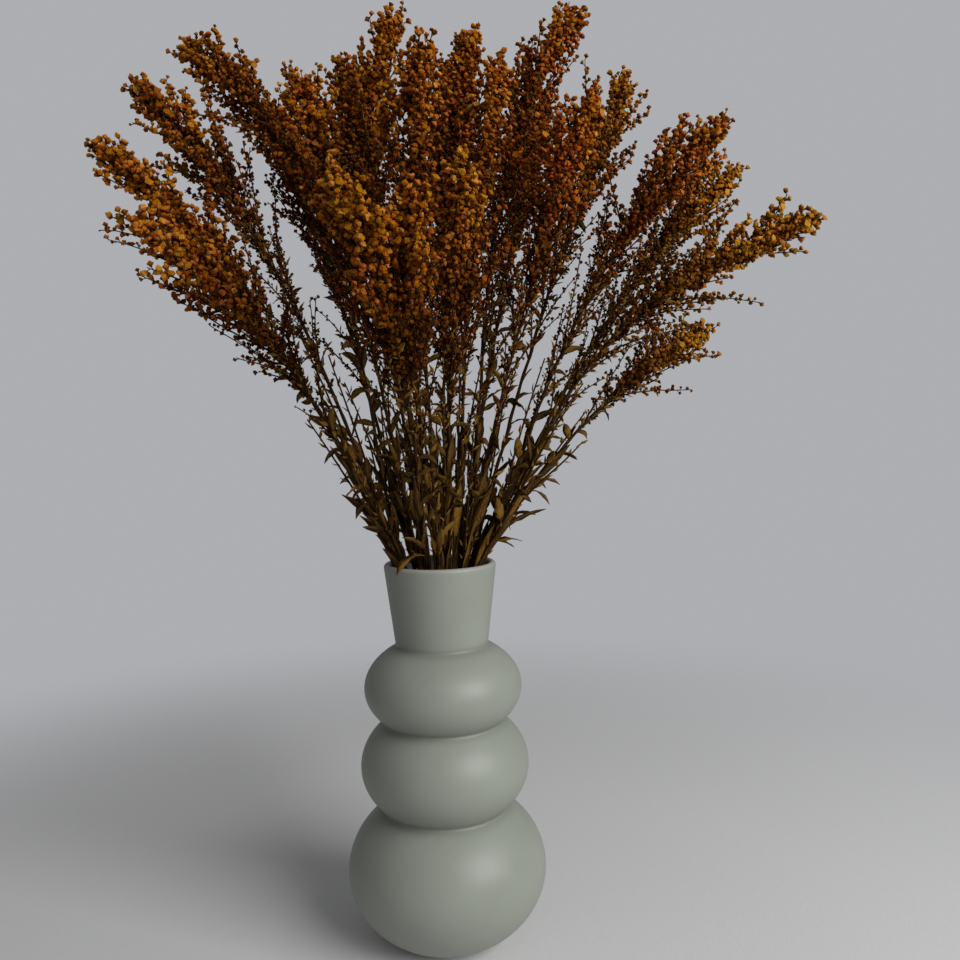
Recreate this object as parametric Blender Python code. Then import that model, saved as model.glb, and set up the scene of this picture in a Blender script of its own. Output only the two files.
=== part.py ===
"""A vase of preserved goldenrod.

A satin glazed vase, a conical neck on three stacked bulbs, holds loose dried stalks
of goldenrod. Each stalk is one plant in two colours, so it is two objects: the olive
brown stem with its narrow leaves, and the amber plume of florets on the stem's end.

Units are metres, +Z is up, and the origin is the middle of the vase's flat foot. The
viewer of the bouquet's front stands at -Y.
"""

from math import cos, pi, radians, sin

import bmesh
import bpy
import numpy as np

# Vase
VASE_HEIGHT = 0.245
WALL = 0.0044
FLOOR_THICKNESS = 0.006
RIM_RADIUS = 0.0362
NECK_RADIUS = 0.0297
NECK_BOTTOM = 0.192
# Centre height, radius and half height of each bulb, from the foot up
BULBS = (
    (0.0471, 0.0640, 0.0510),
    (0.1145, 0.0542, 0.0401),
    (0.1650, 0.0507, 0.0329),
)
GROOVES = (0.0, 0.0870, 0.1432, NECK_BOTTOM)
GROOVE_SHARPNESS = 24
POINTS_PER_BULB = 6
POINTS_PER_NECK = 1
LIP_POINTS = 3
VASE_SEGMENTS = 32
VASE_COLOUR = (0.36, 0.39, 0.33)
VASE_ROUGHNESS = 0.42

# Stalks: name, tip, length and width of the plume, nod of the tip, sideways bow, tone
STALKS = (
    ("left_low", (-0.148, -0.120, 0.439), 0.135, 0.066, 0.55, 0.005, "amber"),
    ("left_far", (-0.187, -0.070, 0.493), 0.145, 0.050, 0.60, 0.000, "amber"),
    ("left_upper", (-0.187, -0.015, 0.544), 0.135, 0.050, 0.75, 0.000, "amber"),
    ("left_top", (-0.175, 0.045, 0.588), 0.150, 0.056, 0.90, 0.018, "amber"),
    ("left_crown", (-0.080, -0.024, 0.550), 0.150, 0.076, 0.35, 0.000, "amber"),
    ("crown_left", (-0.060, 0.040, 0.581), 0.150, 0.062, 0.20, 0.000, "amber"),
    ("tall_left", (-0.014, 0.015, 0.601), 0.165, 0.060, 0.10, -0.029, "amber"),
    ("peak", (0.000, -0.064, 0.549), 0.140, 0.068, 0.10, -0.006, "amber"),
    ("spike", (0.032, 0.056, 0.606), 0.140, 0.058, 0.25, -0.012, "rust"),
    ("crown_right", (0.047, -0.015, 0.557), 0.150, 0.064, 0.10, -0.006, "rust"),
    ("tall_right", (0.105, 0.034, 0.609), 0.155, 0.058, 0.55, -0.016, "rust"),
    ("right_crown", (0.101, -0.032, 0.530), 0.145, 0.072, 0.30, 0.000, "rust"),
    ("right_twig", (0.137, 0.062, 0.575), 0.110, 0.040, 0.20, 0.000, "mustard"),
    ("right_arm", (0.192, 0.000, 0.519), 0.145, 0.062, 0.50, -0.008, "rust"),
    ("right_back", (0.220, 0.070, 0.510), 0.125, 0.046, 0.50, 0.000, "mustard"),
    ("far_right", (0.244, -0.016, 0.454), 0.165, 0.052, 0.60, -0.026, "mustard"),
    ("low_right", (0.185, 0.020, 0.393), 0.105, 0.034, 0.60, 0.000, "mustard"),
    ("front_left", (-0.039, -0.165, 0.444), 0.135, 0.066, 0.45, 0.011, "amber"),
    ("front_mid", (0.000, -0.150, 0.443), 0.125, 0.060, 0.35, -0.010, "amber"),
    ("centre", (0.022, -0.104, 0.472), 0.130, 0.060, 0.25, 0.000, "amber"),
    ("back_left", (-0.125, 0.092, 0.573), 0.140, 0.062, 0.35, 0.000, "amber"),
    ("back_mid", (0.011, 0.112, 0.607), 0.140, 0.064, 0.25, 0.000, "rust"),
    ("back_right", (0.084, 0.104, 0.573), 0.140, 0.062, 0.30, 0.000, "amber"),
)
TONES = {
    "amber": (0.58, 0.24, 0.025),
    "rust": (0.42, 0.13, 0.020),
    "mustard": (0.50, 0.28, 0.045),
}
STEM_COLOUR = (0.15, 0.085, 0.028)
PLANT_ROUGHNESS = 0.75

# How a stalk runs: it leaves the rim at EXIT_REACH at most, and bends inside the neck
EXIT_REACH = 0.0275
EXIT_POWER = 0.8
FULL_LEAN = 0.190
FOOT_REACH = 0.45
SHARPEST_BEND = 9.0
# Makes a bow reach its given size at two thirds of the rise, where it is widest
BOW_SCALE = 6.75
SEAT_GAP = 0.0003
STEM_FOOT_RADIUS = 0.0015
STEM_TOP_RADIUS = 0.0010
STEM_SIDES = 5
LINE_TOLERANCE = 0.0009
SHORTEST_STEP = 0.002
LOOK_AHEAD = 0.001

# How the stalks make room for each other, level by level
LEVEL_STEP = 0.010
TIP_MARGIN = 0.004
SLANT_ALLOWANCE = 1.2
STEM_ROOM = 0.0009
PLUME_ROOM = 0.0080
SETTLE_STEPS = 400
LAST_PUSHES = 60
RIM_ZONE = 0.014
RIM_OPENING = 0.35
NO_WALL = 1.0
SMOOTHING = 0.3
RETURN = 0.02

# Plumes
PLUME_SEED = 7
PLUME_BASE_SHARE = 0.65
PLUME_FULL_FROM = 0.20
PLUME_TAPER = 0.80
RACHIS_BARE = 0.012
CORE_SIDES = 4
CORE_SHARE = 0.10
CORE_TIP_SHARE = 0.65
CORE_BEAD_LENGTH = 0.0225
CORE_WAIST = 0.60
SPRAY_SPACING = 0.0160
SPRAY_SIDES = 3
SPRAY_START = 0.006
SPRAY_END = 0.022
SPRAY_OPENING = (34.0, 18.0)
SPRAY_ROOT_RADIUS = 0.0009
SPRAY_BARE_SHARE = 0.22
SPRAY_STEPS = 6
SPRAY_LIFT = 0.25
BEAD_RADIUS = 0.0070
BEAD_TIP_SHARE = 0.66
BEAD_LENGTH = 0.0155
BEAD_WAIST = 0.42
BEAD_STAGGER = 0.20
MAX_BEADS = 3
# A spray that would touch something is turned by this much and tried again, at these sizes
SPRAY_TURN = 0.7
SPRAY_TRIES = (1.0, 1.0, 1.0, 0.8, 0.8, 0.8, 0.6, 0.6, 0.45, 0.45)
PART_GAP = 0.0005

# Leaves
LEAF_SEED = 21
LEAF_SPACING = 0.053
FEWEST_LEAVES = 3
# Lengths of stem with no leaves, above the rim and below the plume
LEAFLESS = (0.012, 0.008)
LEAF_SCATTER = 0.8
LEAF_LENGTH = (0.009, 0.020)
LEAF_HALF_WIDTH = (0.0020, 0.0034)
LEAF_OPENING = (28.0, 55.0)
LEAF_THICKNESS = 0.0010
# Shares of a leaf's length at which it has a ring, and its share of full width there
LEAF_SHARES = (0.0, 0.30, 0.66, 1.0)
LEAF_WIDTHS = (0.22, 0.95, 0.75, 0.0)
LEAF_FOLD = 0.25
LEAF_DROOP = 1.1
LEAF_ROLL = 35.0
LEAF_STEPS = 12
LEAF_TESTS = 12
LEAF_FREE_FROM = 0.12
LEAF_NARROWING = 0.6
# A leaf that would touch something is turned and shortened by this much and tried again
LEAF_TURN = 0.55
LEAF_SHORTENING = 0.05
LEAF_TRIES = 12
# Below this, a leaf is too upright for the horizon to say which way its blade faces
UPRIGHT = 0.05
# Leaves by the rim: stalk, height of the root, heading in degrees, rise, length, droop
RIM_LEAVES = (
    ("front_left", 0.253, -146.0, 0.44, 0.025, 1.7),
    ("far_right", 0.256, 11.0, 0.57, 0.022, 0.9),
    ("crown_right", 0.258, -67.0, 4.22, 0.041, 0.5),
)
RIM_LEAF_HALF_WIDTH = 0.0037
GOLDEN_ANGLE = radians(137.508)


def unit(vector):
    """A vector's direction, with length 1."""
    return vector / np.linalg.norm(vector)


def across(direction):
    """Two unit vectors at right angles to a direction and to each other."""
    helper = np.array((0.0, 1.0, 0.0)) if abs(direction[1]) < 0.9 else np.array((1.0, 0.0, 0.0))
    first = unit(np.cross(direction, helper))
    return first, np.cross(direction, first)


def radial(direction, angle):
    """The unit vector at right angles to a direction, at an angle round it."""
    first, second = across(direction)
    return cos(angle) * first + sin(angle) * second


def outer_radius(height):
    """Radius of the vase's outside: bulbs and neck, blended in the grooves."""
    height = np.asarray(height, dtype=float)
    neck_slope = (RIM_RADIUS - NECK_RADIUS) / (VASE_HEIGHT - NECK_BOTTOM)
    neck = np.where(height > BULBS[-1][0], NECK_RADIUS + neck_slope * (height - NECK_BOTTOM), 0.0)
    total = (neck / RIM_RADIUS) ** GROOVE_SHARPNESS
    for centre, radius, half_height in BULBS:
        chord = np.sqrt(np.clip(1.0 - ((height - centre) / half_height) ** 2, 0.0, None))
        total = total + (radius * chord / RIM_RADIUS) ** GROOVE_SHARPNESS
    return RIM_RADIUS * total ** (1.0 / GROOVE_SHARPNESS)


def inner_radius(height):
    """Radius of the vase's inside, a wall's thickness in from the outside."""
    height = np.asarray(height, dtype=float)
    step = 0.0005
    slope = (outer_radius(height + step) - outer_radius(height - step)) / (2.0 * step)
    return outer_radius(height) - WALL * np.sqrt(1.0 + slope ** 2)


def band_heights():
    """Heights of the vase's profile points, closer together beside the grooves."""
    heights = []
    for low, high in zip(GROOVES, GROOVES[1:]):
        for step in range(POINTS_PER_BULB):
            heights.append(low + (high - low) * (1.0 - cos(pi * step / POINTS_PER_BULB)) / 2.0)
    neck_top = VASE_HEIGHT - WALL / 2.0
    for step in range(POINTS_PER_NECK + 1):
        heights.append(NECK_BOTTOM + (neck_top - NECK_BOTTOM) * step / POINTS_PER_NECK)
    return heights


def vase_profile():
    """The vase's closed half section: up its inside, over the lip and down its outside."""
    heights = band_heights()
    inside = [z for z in heights[:-1:2] + heights[-1:] if z > FLOOR_THICKNESS * 1.5]
    profile = [(0.0, FLOOR_THICKNESS), (float(inner_radius(FLOOR_THICKNESS)) - WALL, FLOOR_THICKNESS)]
    profile += [(float(inner_radius(z)), z) for z in inside]
    lip_centre = float(outer_radius(heights[-1]) + inner_radius(heights[-1])) / 2.0
    lip_radius = float(outer_radius(heights[-1])) - lip_centre
    for step in range(1, LIP_POINTS):
        angle = pi * (1.0 - step / LIP_POINTS)
        profile.append((lip_centre + lip_radius * cos(angle), heights[-1] + WALL / 2.0 * sin(angle)))
    profile += [(float(outer_radius(z)), z) for z in reversed(heights)]
    profile.append((0.0, 0.0))
    return profile


def material(name, colour, roughness):
    """A plain Principled material."""
    made = bpy.data.materials.new(name)
    made.use_nodes = True
    shader = made.node_tree.nodes["Principled BSDF"]
    shader.inputs["Base Color"].default_value = (*colour, 1.0)
    shader.inputs["Roughness"].default_value = roughness
    made.diffuse_color = (*colour, 1.0)
    return made


def make_vase():
    """The vase, its half section turned round the Z axis."""
    points = [(x, 0.0, z) for x, z in vase_profile()]
    mesh = bpy.data.meshes.new("vase")
    mesh.from_pydata(points, [(i, i + 1) for i in range(len(points) - 1)], [])
    vase = bpy.data.objects.new("vase", mesh)
    bpy.context.scene.collection.objects.link(vase)
    screw = vase.modifiers.new("turn", "SCREW")
    screw.steps = VASE_SEGMENTS
    screw.render_steps = VASE_SEGMENTS
    screw.use_merge_vertices = True
    screw.merge_threshold = 0.00001
    screw.use_smooth_shade = True
    mesh.materials.append(material("vase_glaze", VASE_COLOUR, VASE_ROUGHNESS))


def level_heights():
    """Heights of the levels at which the stalks make room for each other."""
    highest = max(row[1][2] for row in STALKS)
    lowest = FLOOR_THICKNESS + SEAT_GAP
    return np.linspace(lowest, highest, 1 + round((highest - lowest) / LEVEL_STEP))


def wished_line(tip, nod, bow, heights):
    """Where a stalk would run with no neighbours, as x and y at each height."""
    tip = np.array(tip)
    lean = np.linalg.norm(tip[:2])
    outward = tip[:2] / lean
    leave = outward * EXIT_REACH * min(1.0, lean / FULL_LEAN) ** EXIT_POWER
    foot = leave * FOOT_REACH
    rise = tip[2] - VASE_HEIGHT
    spread = tip[:2] - leave
    slope = np.linalg.norm(spread) / (rise * (1.0 + nod))
    inside_height = VASE_HEIGHT - heights[0]
    bend = np.clip(slope * inside_height / np.linalg.norm(leave - foot), 1.0, SHARPEST_BEND)
    along = np.clip((heights - heights[0]) / inside_height, 0.0, 1.0)
    below = foot + (leave - foot) * along[:, None] ** bend
    climb = np.clip((heights - VASE_HEIGHT) / rise, 0.0, 1.0)
    share = ((1.0 + nod) - np.sqrt((1.0 + nod) ** 2 - 4.0 * nod * climb)) / (2.0 * nod)
    above = leave + spread * share[:, None]
    above[:, 0] += bow * BOW_SCALE * climb ** 2 * (1.0 - climb)
    return np.where(heights[:, None] < VASE_HEIGHT, below, above)


def line_lengths(points):
    """Length along a line of points, from its start to each point."""
    steps = np.linalg.norm(np.diff(points, axis=0), axis=1)
    return np.concatenate(((0.0,), np.cumsum(steps)))


def point_along(points, lengths, wanted):
    """The points at given lengths along a line."""
    return np.stack([np.interp(wanted, lengths, points[:, i]) for i in range(3)], axis=-1)


def settled_lines():
    """Every stalk's line, moved apart from its neighbours and kept within the vase."""
    heights = level_heights()
    tips = np.array([row[1] for row in STALKS])
    wished = np.array([wished_line(row[1], row[4], row[5], heights) for row in STALKS])
    active = heights[None] < tips[:, 2:3] - TIP_MARGIN
    room = np.zeros(active.shape)
    for i, row in enumerate(STALKS):
        line = np.column_stack((wished[i], heights))[active[i]]
        left = line_lengths(line)[-1] - line_lengths(line)
        thick = np.interp(left, (row[2], left[0]), (STEM_TOP_RADIUS, STEM_FOOT_RADIUS))
        room[i, active[i]] = np.where(left < row[2], PLUME_ROOM, thick * SLANT_ALLOWANCE + STEM_ROOM)
    need = room[:, None] + room[None]
    both = active[:, None] & active[None] & ~np.eye(len(STALKS), dtype=bool)[..., None]
    above_rim = np.clip(heights - VASE_HEIGHT, 0.0, None)
    wall = inner_radius(np.minimum(heights, VASE_HEIGHT - WALL / 2.0)) + RIM_OPENING * above_rim
    wall = np.where(above_rim < RIM_ZONE, wall, NO_WALL)
    lines = wished.copy()
    for step in range(SETTLE_STEPS):
        if step < SETTLE_STEPS - LAST_PUSHES:
            shift = lines - wished
            middle = (shift[:, :-2] + shift[:, 2:]) / 2.0
            shift[:, 1:-1] += SMOOTHING * (middle - shift[:, 1:-1])
            lines = wished + (1.0 - RETURN) * shift
        gap = lines[:, None] - lines[None]
        distance = np.linalg.norm(gap, axis=-1) + 1e-9
        push = np.clip(need - distance, 0.0, None) * both / distance
        lines += 0.5 * (gap * push[..., None]).sum(axis=1)
        limit = wall - room
        off_axis = np.linalg.norm(lines, axis=-1) + 1e-9
        lines *= np.minimum(1.0, limit / off_axis)[..., None]
    full = []
    for i, tip in enumerate(tips):
        levels = np.flatnonzero(active[i])
        line = np.column_stack((lines[i, levels], heights[levels]))
        shift = np.append(lines[i, levels[-1]] - wished[i, levels[-1]], 0.0)
        full.append(np.vstack((line, tip + shift)))
    return full


def thinned(points, tolerance):
    """The fewest of a line's points that keep it within a tolerance of its route."""
    if len(points) < 3:
        return points
    chord = unit(points[-1] - points[0])
    offset = points - points[0]
    away = np.linalg.norm(offset - np.outer(offset @ chord, chord), axis=1)
    furthest = int(np.argmax(away))
    if away[furthest] < tolerance:
        return points[[0, -1]]
    first = thinned(points[: furthest + 1], tolerance)
    return np.vstack((first[:-1], thinned(points[furthest:], tolerance)))


def line_frames(points):
    """A direction and two cross directions at each point of a line, without twist."""
    steps = np.diff(points, axis=0)
    steps = steps / np.linalg.norm(steps, axis=1)[:, None]
    directions = np.vstack((steps[:1], steps[:-1] + steps[1:], steps[-1:]))
    directions = directions / np.linalg.norm(directions, axis=1)[:, None]
    first = across(directions[0])[0]
    frames = []
    for direction in directions:
        first = unit(first - direction * (first @ direction))
        frames.append((direction, first, np.cross(direction, first)))
    return frames


class Space:
    """The pieces placed so far, each a round-ended rod with a radius and an owner."""

    def __init__(self):
        self.starts = np.empty((0, 3))
        self.ends = np.empty((0, 3))
        self.radii = np.empty(0)
        self.owners = np.empty(0, dtype=object)

    def add(self, points, radii, owner):
        """Place a line of points, as thick at each rod as the wider of its two ends."""
        points = np.asarray(points)
        radii = np.asarray(radii)
        self.starts = np.vstack((self.starts, points[:-1]))
        self.ends = np.vstack((self.ends, points[1:]))
        self.radii = np.append(self.radii, np.maximum(radii[:-1], radii[1:]))
        self.owners = np.append(self.owners, [owner] * (len(points) - 1))

    def is_free(self, points, radii, owner):
        """Whether balls at these points clear the vase and every other owner's rods."""
        points = np.asarray(points)
        radii = np.asarray(radii) + PART_GAP
        others = self.owners != owner
        starts = self.starts[others]
        rods = self.ends[others] - starts
        offset = points[:, None] - starts[None]
        share = (offset * rods).sum(axis=-1) / np.maximum((rods * rods).sum(axis=-1), 1e-12)
        nearest = offset - np.clip(share, 0.0, 1.0)[..., None] * rods
        gaps = np.linalg.norm(nearest, axis=-1) - self.radii[others][None] - radii[:, None]
        return bool(gaps.min() > 0.0) and clears_vase(points, radii)


def clears_vase(points, radii):
    """Whether balls at these points stay inside the vase's wall or outside it."""
    low = points[:, 2] - radii < VASE_HEIGHT
    height = np.minimum(points[:, 2], VASE_HEIGHT - WALL / 2.0)
    off_axis = np.hypot(points[:, 0], points[:, 1])
    within = off_axis + radii < inner_radius(height)
    beyond = off_axis - radii > outer_radius(height)
    return bool(np.all(~low | within | beyond))


def ring_solid(name, rings):
    """A closed solid through rings of points, where a ring of one point is a tip."""
    shape = bmesh.new()
    loops = [[shape.verts.new(point) for point in ring] for ring in rings]
    for lower, upper in zip(loops, loops[1:]):
        sides = max(len(lower), len(upper))
        for i in range(sides):
            j = (i + 1) % sides
            corners = [lower[i % len(lower)], lower[j % len(lower)]]
            corners += [upper[j % len(upper)], upper[i % len(upper)]]
            shape.faces.new(list(dict.fromkeys(corners)))
    for loop in (loops[0], loops[-1]):
        if len(loop) > 1:
            shape.faces.new(loop)
    bmesh.ops.triangulate(shape, faces=shape.faces[:])
    bmesh.ops.recalc_face_normals(shape, faces=shape.faces[:])
    mesh = bpy.data.meshes.new(name)
    shape.to_mesh(mesh)
    shape.free()
    return bpy.data.objects.new(name, mesh)


def round_rings(points, radii, sides, turn=0.0):
    """Rings round a line of points; a radius of 0 gives a ring of one point."""
    rings = []
    for i, (_, first, second) in enumerate(line_frames(points)):
        if radii[i] == 0.0:
            rings.append([points[i]])
            continue
        angles = [2.0 * pi * side / sides + turn * i for side in range(sides)]
        rings.append([points[i] + radii[i] * (cos(a) * first + sin(a) * second) for a in angles])
    return rings


def bead_stations(start, end, count, radius, tip_share, waist):
    """Lengths and radii of a row of beads, smaller towards the end, with waists between."""
    step = (end - start) / count
    lengths = []
    radii = []
    for bead in range(count):
        lengths += [start + step * (bead + 0.5), start + step * (bead + 1.0)]
        size = radius * (1.0 - (1.0 - tip_share) * bead / max(count - 1, 1))
        radii += [size, size * waist]
    radii[-1] = 0.0
    return lengths, radii


def spray_shape(root, direction, length, rng):
    """Centre points and radii of a short side branch closely set with florets."""
    points = [root]
    heading = direction
    for _ in range(SPRAY_STEPS):
        heading = unit(heading + np.array((0.0, 0.0, SPRAY_LIFT / SPRAY_STEPS)))
        points.append(points[-1] + heading * length / SPRAY_STEPS)
    line = np.array(points)
    bare = length * SPRAY_BARE_SHARE
    beads = int(np.clip(round((length - bare) / BEAD_LENGTH), 1, MAX_BEADS))
    lengths, radii = bead_stations(bare, length, beads, BEAD_RADIUS, BEAD_TIP_SHARE, BEAD_WAIST)
    centres = point_along(line, line_lengths(line), np.array([0.0, bare] + lengths))
    radii = np.array([SPRAY_ROOT_RADIUS, SPRAY_ROOT_RADIUS] + radii)
    side = radial(direction, rng.uniform(0.0, 2.0 * pi))
    for i in range(2, len(centres) - 1, 2):
        centres[i] += side * BEAD_STAGGER * radii[i] * (-1.0) ** (i // 2)
    return centres, radii


def plume_half_width(width, share):
    """Half width of a plume, from its base (share 0) to its tip (share 1)."""
    base = np.interp(share, (0.0, PLUME_FULL_FROM), (PLUME_BASE_SHARE, 1.0))
    return width / 2.0 * base * (1.0 - share) ** PLUME_TAPER


def grow_rachis(line, length, width):
    """The plume's middle branch: a short bare stalk, then a core of florets to its tip."""
    lengths = line_lengths(line)
    start = lengths[-1] - length + SEAT_GAP
    dense = lengths[-1] - length + RACHIS_BARE
    count = round((lengths[-1] - dense) / CORE_BEAD_LENGTH)
    core = CORE_SHARE * width
    at, radii = bead_stations(dense, lengths[-1], count, core, CORE_TIP_SHARE, CORE_WAIST)
    centres = point_along(line, lengths, np.array([start, dense] + at))
    return centres, np.array([STEM_TOP_RADIUS, STEM_TOP_RADIUS] + radii)


def grow_sprays(name, line, length, width, space, rng):
    """The side branches of a plume, turned or shortened until each is free."""
    lengths = line_lengths(line)
    dense = length - SPRAY_START - SPRAY_END
    count = round(dense / SPRAY_SPACING)
    start_angle = rng.uniform(0.0, 2.0 * pi)
    sprays = []
    for number in range(count):
        share = (number + 0.5) / count
        at = lengths[-1] - length + SPRAY_START + dense * share
        root, ahead = point_along(line, lengths, np.array((at, at + LOOK_AHEAD)))
        direction = unit(ahead - root)
        opening = radians(np.interp(share, (0.0, 1.0), SPRAY_OPENING))
        reach = plume_half_width(width, share * (1.0 - SPRAY_END / length)) / sin(opening)
        for attempt, shrink in enumerate(SPRAY_TRIES):
            angle = start_angle + GOLDEN_ANGLE * number + attempt * SPRAY_TURN * (-1.0) ** attempt
            heading = unit(cos(opening) * direction + sin(opening) * radial(direction, angle))
            centres, radii = spray_shape(root, heading, reach * shrink, rng)
            if space.is_free(centres[1:], radii[1:], "plume_" + name):
                space.add(centres, radii, "plume_" + name)
                sprays.append((centres, radii))
                break
    return sprays


def leaf_line(root, direction, length, droop):
    """The points of a leaf's middle rib, which bends down towards its tip."""
    points = [root]
    heading = direction
    for _ in range(LEAF_STEPS):
        heading = unit(heading + np.array((0.0, 0.0, -droop / LEAF_STEPS)))
        points.append(points[-1] + heading * length / LEAF_STEPS)
    curve = np.array(points)
    return point_along(curve, line_lengths(curve), length * np.array(LEAF_SHARES))


def leaf_rings(line, half_width, roll):
    """Three-cornered rings of a folded leaf: two edges, and the rib below them."""
    rings = []
    for (direction, first, _), middle, part in zip(line_frames(line), line, LEAF_WIDTHS):
        if part == 0.0:
            rings.append([middle])
            continue
        flat = np.cross(direction, (0.0, 0.0, 1.0))
        side = unit(flat) if np.linalg.norm(flat) > UPRIGHT else first
        up = np.cross(side, direction)
        side, up = cos(roll) * side + sin(roll) * up, cos(roll) * up - sin(roll) * side
        half = half_width * part
        edge = middle + up * half * LEAF_FOLD
        rings.append([edge - side * half, middle - up * LEAF_THICKNESS / 2.0, edge + side * half])
    return rings


def leaf_fits(line, half_width, owner, space):
    """Whether a leaf on this line is free, and if so, its place is taken."""
    lengths = line_lengths(line)
    at = np.linspace(LEAF_FREE_FROM, 1.0, LEAF_TESTS) * lengths[-1]
    balls = point_along(line, lengths, at)
    sizes = half_width * np.interp(at, lengths, LEAF_WIDTHS)
    if not space.is_free(balls, sizes, owner):
        return False
    space.add(balls, sizes, owner)
    return True


def grow_leaves(name, line, plume_length, space, rng):
    """The leaves along a stem, spiralling up it, smaller towards the plume."""
    owner = "stem_" + name
    lengths = line_lengths(line)
    leaves = []
    for stalk, height, heading, rise, length, droop in RIM_LEAVES:
        if stalk == name:
            at = float(np.interp(height, line[:, 2], lengths))
            root = point_along(line, lengths, np.array((at,)))[0]
            towards = np.array((cos(radians(heading)), sin(radians(heading)), rise))
            middle = leaf_line(root, unit(towards), length, droop)
            if leaf_fits(middle, RIM_LEAF_HALF_WIDTH, owner, space):
                leaves.append((middle, RIM_LEAF_HALF_WIDTH, 0.0))
    lowest = float(np.interp(VASE_HEIGHT + LEAFLESS[0], line[:, 2], lengths))
    highest = lengths[-1] - plume_length - LEAFLESS[1]
    count = max(FEWEST_LEAVES, round((highest - lowest) / LEAF_SPACING))
    start_angle = rng.uniform(0.0, 2.0 * pi)
    for number in range(count):
        share = (number + rng.uniform(0.0, LEAF_SCATTER)) / count
        at = lowest + (highest - lowest) * share
        root, ahead = point_along(line, lengths, np.array((at, at + LOOK_AHEAD)))
        direction = unit(ahead - root)
        big = 1.0 - LEAF_NARROWING * share * rng.uniform(0.6, 1.0)
        length = LEAF_LENGTH[0] + (LEAF_LENGTH[1] - LEAF_LENGTH[0]) * big
        half_width = LEAF_HALF_WIDTH[0] + (LEAF_HALF_WIDTH[1] - LEAF_HALF_WIDTH[0]) * big
        opening = radians(rng.uniform(*LEAF_OPENING))
        droop = LEAF_DROOP * rng.uniform(0.2, 1.0)
        roll = radians(rng.uniform(-LEAF_ROLL, LEAF_ROLL))
        for attempt in range(LEAF_TRIES):
            shrink = 1.0 - LEAF_SHORTENING * attempt
            angle = start_angle + GOLDEN_ANGLE * number + attempt * LEAF_TURN * (-1.0) ** attempt
            heading = cos(opening) * direction + sin(opening) * radial(direction, angle)
            middle = leaf_line(root, heading, length * shrink, droop)
            if leaf_fits(middle, half_width * shrink, owner, space):
                leaves.append((middle, half_width * shrink, roll))
                break
    return leaves


def fused(name, base, extras, made_of):
    """One solid from a base and the pieces rooted in it, linked to the scene."""
    scene = bpy.context.scene
    scene.collection.objects.link(base)
    base.name = name
    loose = bpy.data.collections.new(name + "_pieces")
    scene.collection.children.link(loose)
    for piece in extras:
        loose.objects.link(piece)
    union = base.modifiers.new("fuse", "BOOLEAN")
    union.operation = "UNION"
    union.operand_type = "COLLECTION"
    union.collection = loose
    union.solver = "EXACT"
    bpy.context.view_layer.update()
    ready = base.evaluated_get(bpy.context.evaluated_depsgraph_get())
    mesh = bpy.data.meshes.new_from_object(ready)
    base.modifiers.clear()
    base.data = mesh
    for piece in extras:
        bpy.data.objects.remove(piece)
    bpy.data.collections.remove(loose)
    keep_outer_shell(mesh)
    mesh.name = name
    mesh.materials.clear()
    mesh.materials.append(made_of)


def keep_outer_shell(mesh):
    """Fill sealed hollows and drop loose scraps: keep the largest connected shell."""
    shape = bmesh.new()
    shape.from_mesh(mesh)
    left = set(shape.faces)
    shells = []
    while left:
        front = [left.pop()]
        shell = list(front)
        while front:
            face = front.pop()
            near = [other for edge in face.edges for other in edge.link_faces if other in left]
            left.difference_update(near)
            near = list(dict.fromkeys(near))
            front += near
            shell += near
        shells.append(shell)
    shells.sort(key=len)
    spare = [face for shell in shells[:-1] for face in shell]
    if spare:
        bmesh.ops.delete(shape, geom=spare, context="FACES")
    bmesh.ops.triangulate(shape, faces=shape.faces[:])
    shape.to_mesh(mesh)
    shape.free()


def make_stalks():
    """All the stalks, each a leafy stem and a plume that starts just past its end."""
    lines = settled_lines()
    space = Space()
    stems = []
    for (name, _, plume_length, width, *_), line in zip(STALKS, lines):
        lengths = line_lengths(line)
        top = lengths[-1] - plume_length
        until = np.append(lengths[lengths < top - SHORTEST_STEP], top)
        stem = thinned(point_along(line, lengths, until), LINE_TOLERANCE)
        radii = np.interp(line_lengths(stem), (0.0, top), (STEM_FOOT_RADIUS, STEM_TOP_RADIUS))
        space.add(stem, radii, "stem_" + name)
        rachis, rachis_radii = grow_rachis(line, plume_length, width)
        space.add(rachis, rachis_radii, "plume_" + name)
        stems.append((stem, radii, rachis, rachis_radii))
    rng = np.random.default_rng(PLUME_SEED)
    sprays = {}
    for (name, _, plume_length, width, *_), line in zip(STALKS, lines):
        sprays[name] = grow_sprays(name, line, plume_length, width, space, rng)
    rng = np.random.default_rng(LEAF_SEED)
    leaves = {}
    for (name, _, plume_length, *_), line in zip(STALKS, lines):
        leaves[name] = grow_leaves(name, line, plume_length, space, rng)
    for (name, *_, tone), (stem, radii, rachis, rachis_radii) in zip(STALKS, stems):
        base = ring_solid("stem", round_rings(stem, radii, STEM_SIDES))
        blades = [ring_solid("leaf", leaf_rings(*leaf)) for leaf in leaves[name]]
        made_of = material("stem_" + name, STEM_COLOUR, PLANT_ROUGHNESS)
        fused("stem_" + name, base, blades, made_of)
        base = ring_solid("rachis", round_rings(rachis, rachis_radii, CORE_SIDES, pi / CORE_SIDES))
        rings = [round_rings(*spray, SPRAY_SIDES, pi / SPRAY_SIDES) for spray in sprays[name]]
        twigs = [ring_solid("spray", each) for each in rings]
        made_of = material("plume_" + name, TONES[tone], PLANT_ROUGHNESS)
        fused("plume_" + name, base, twigs, made_of)


def main():
    """Clear the scene and model the vase and its stalks."""
    for old in list(bpy.data.objects):
        bpy.data.objects.remove(old)
    make_vase()
    make_stalks()


main()
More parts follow.
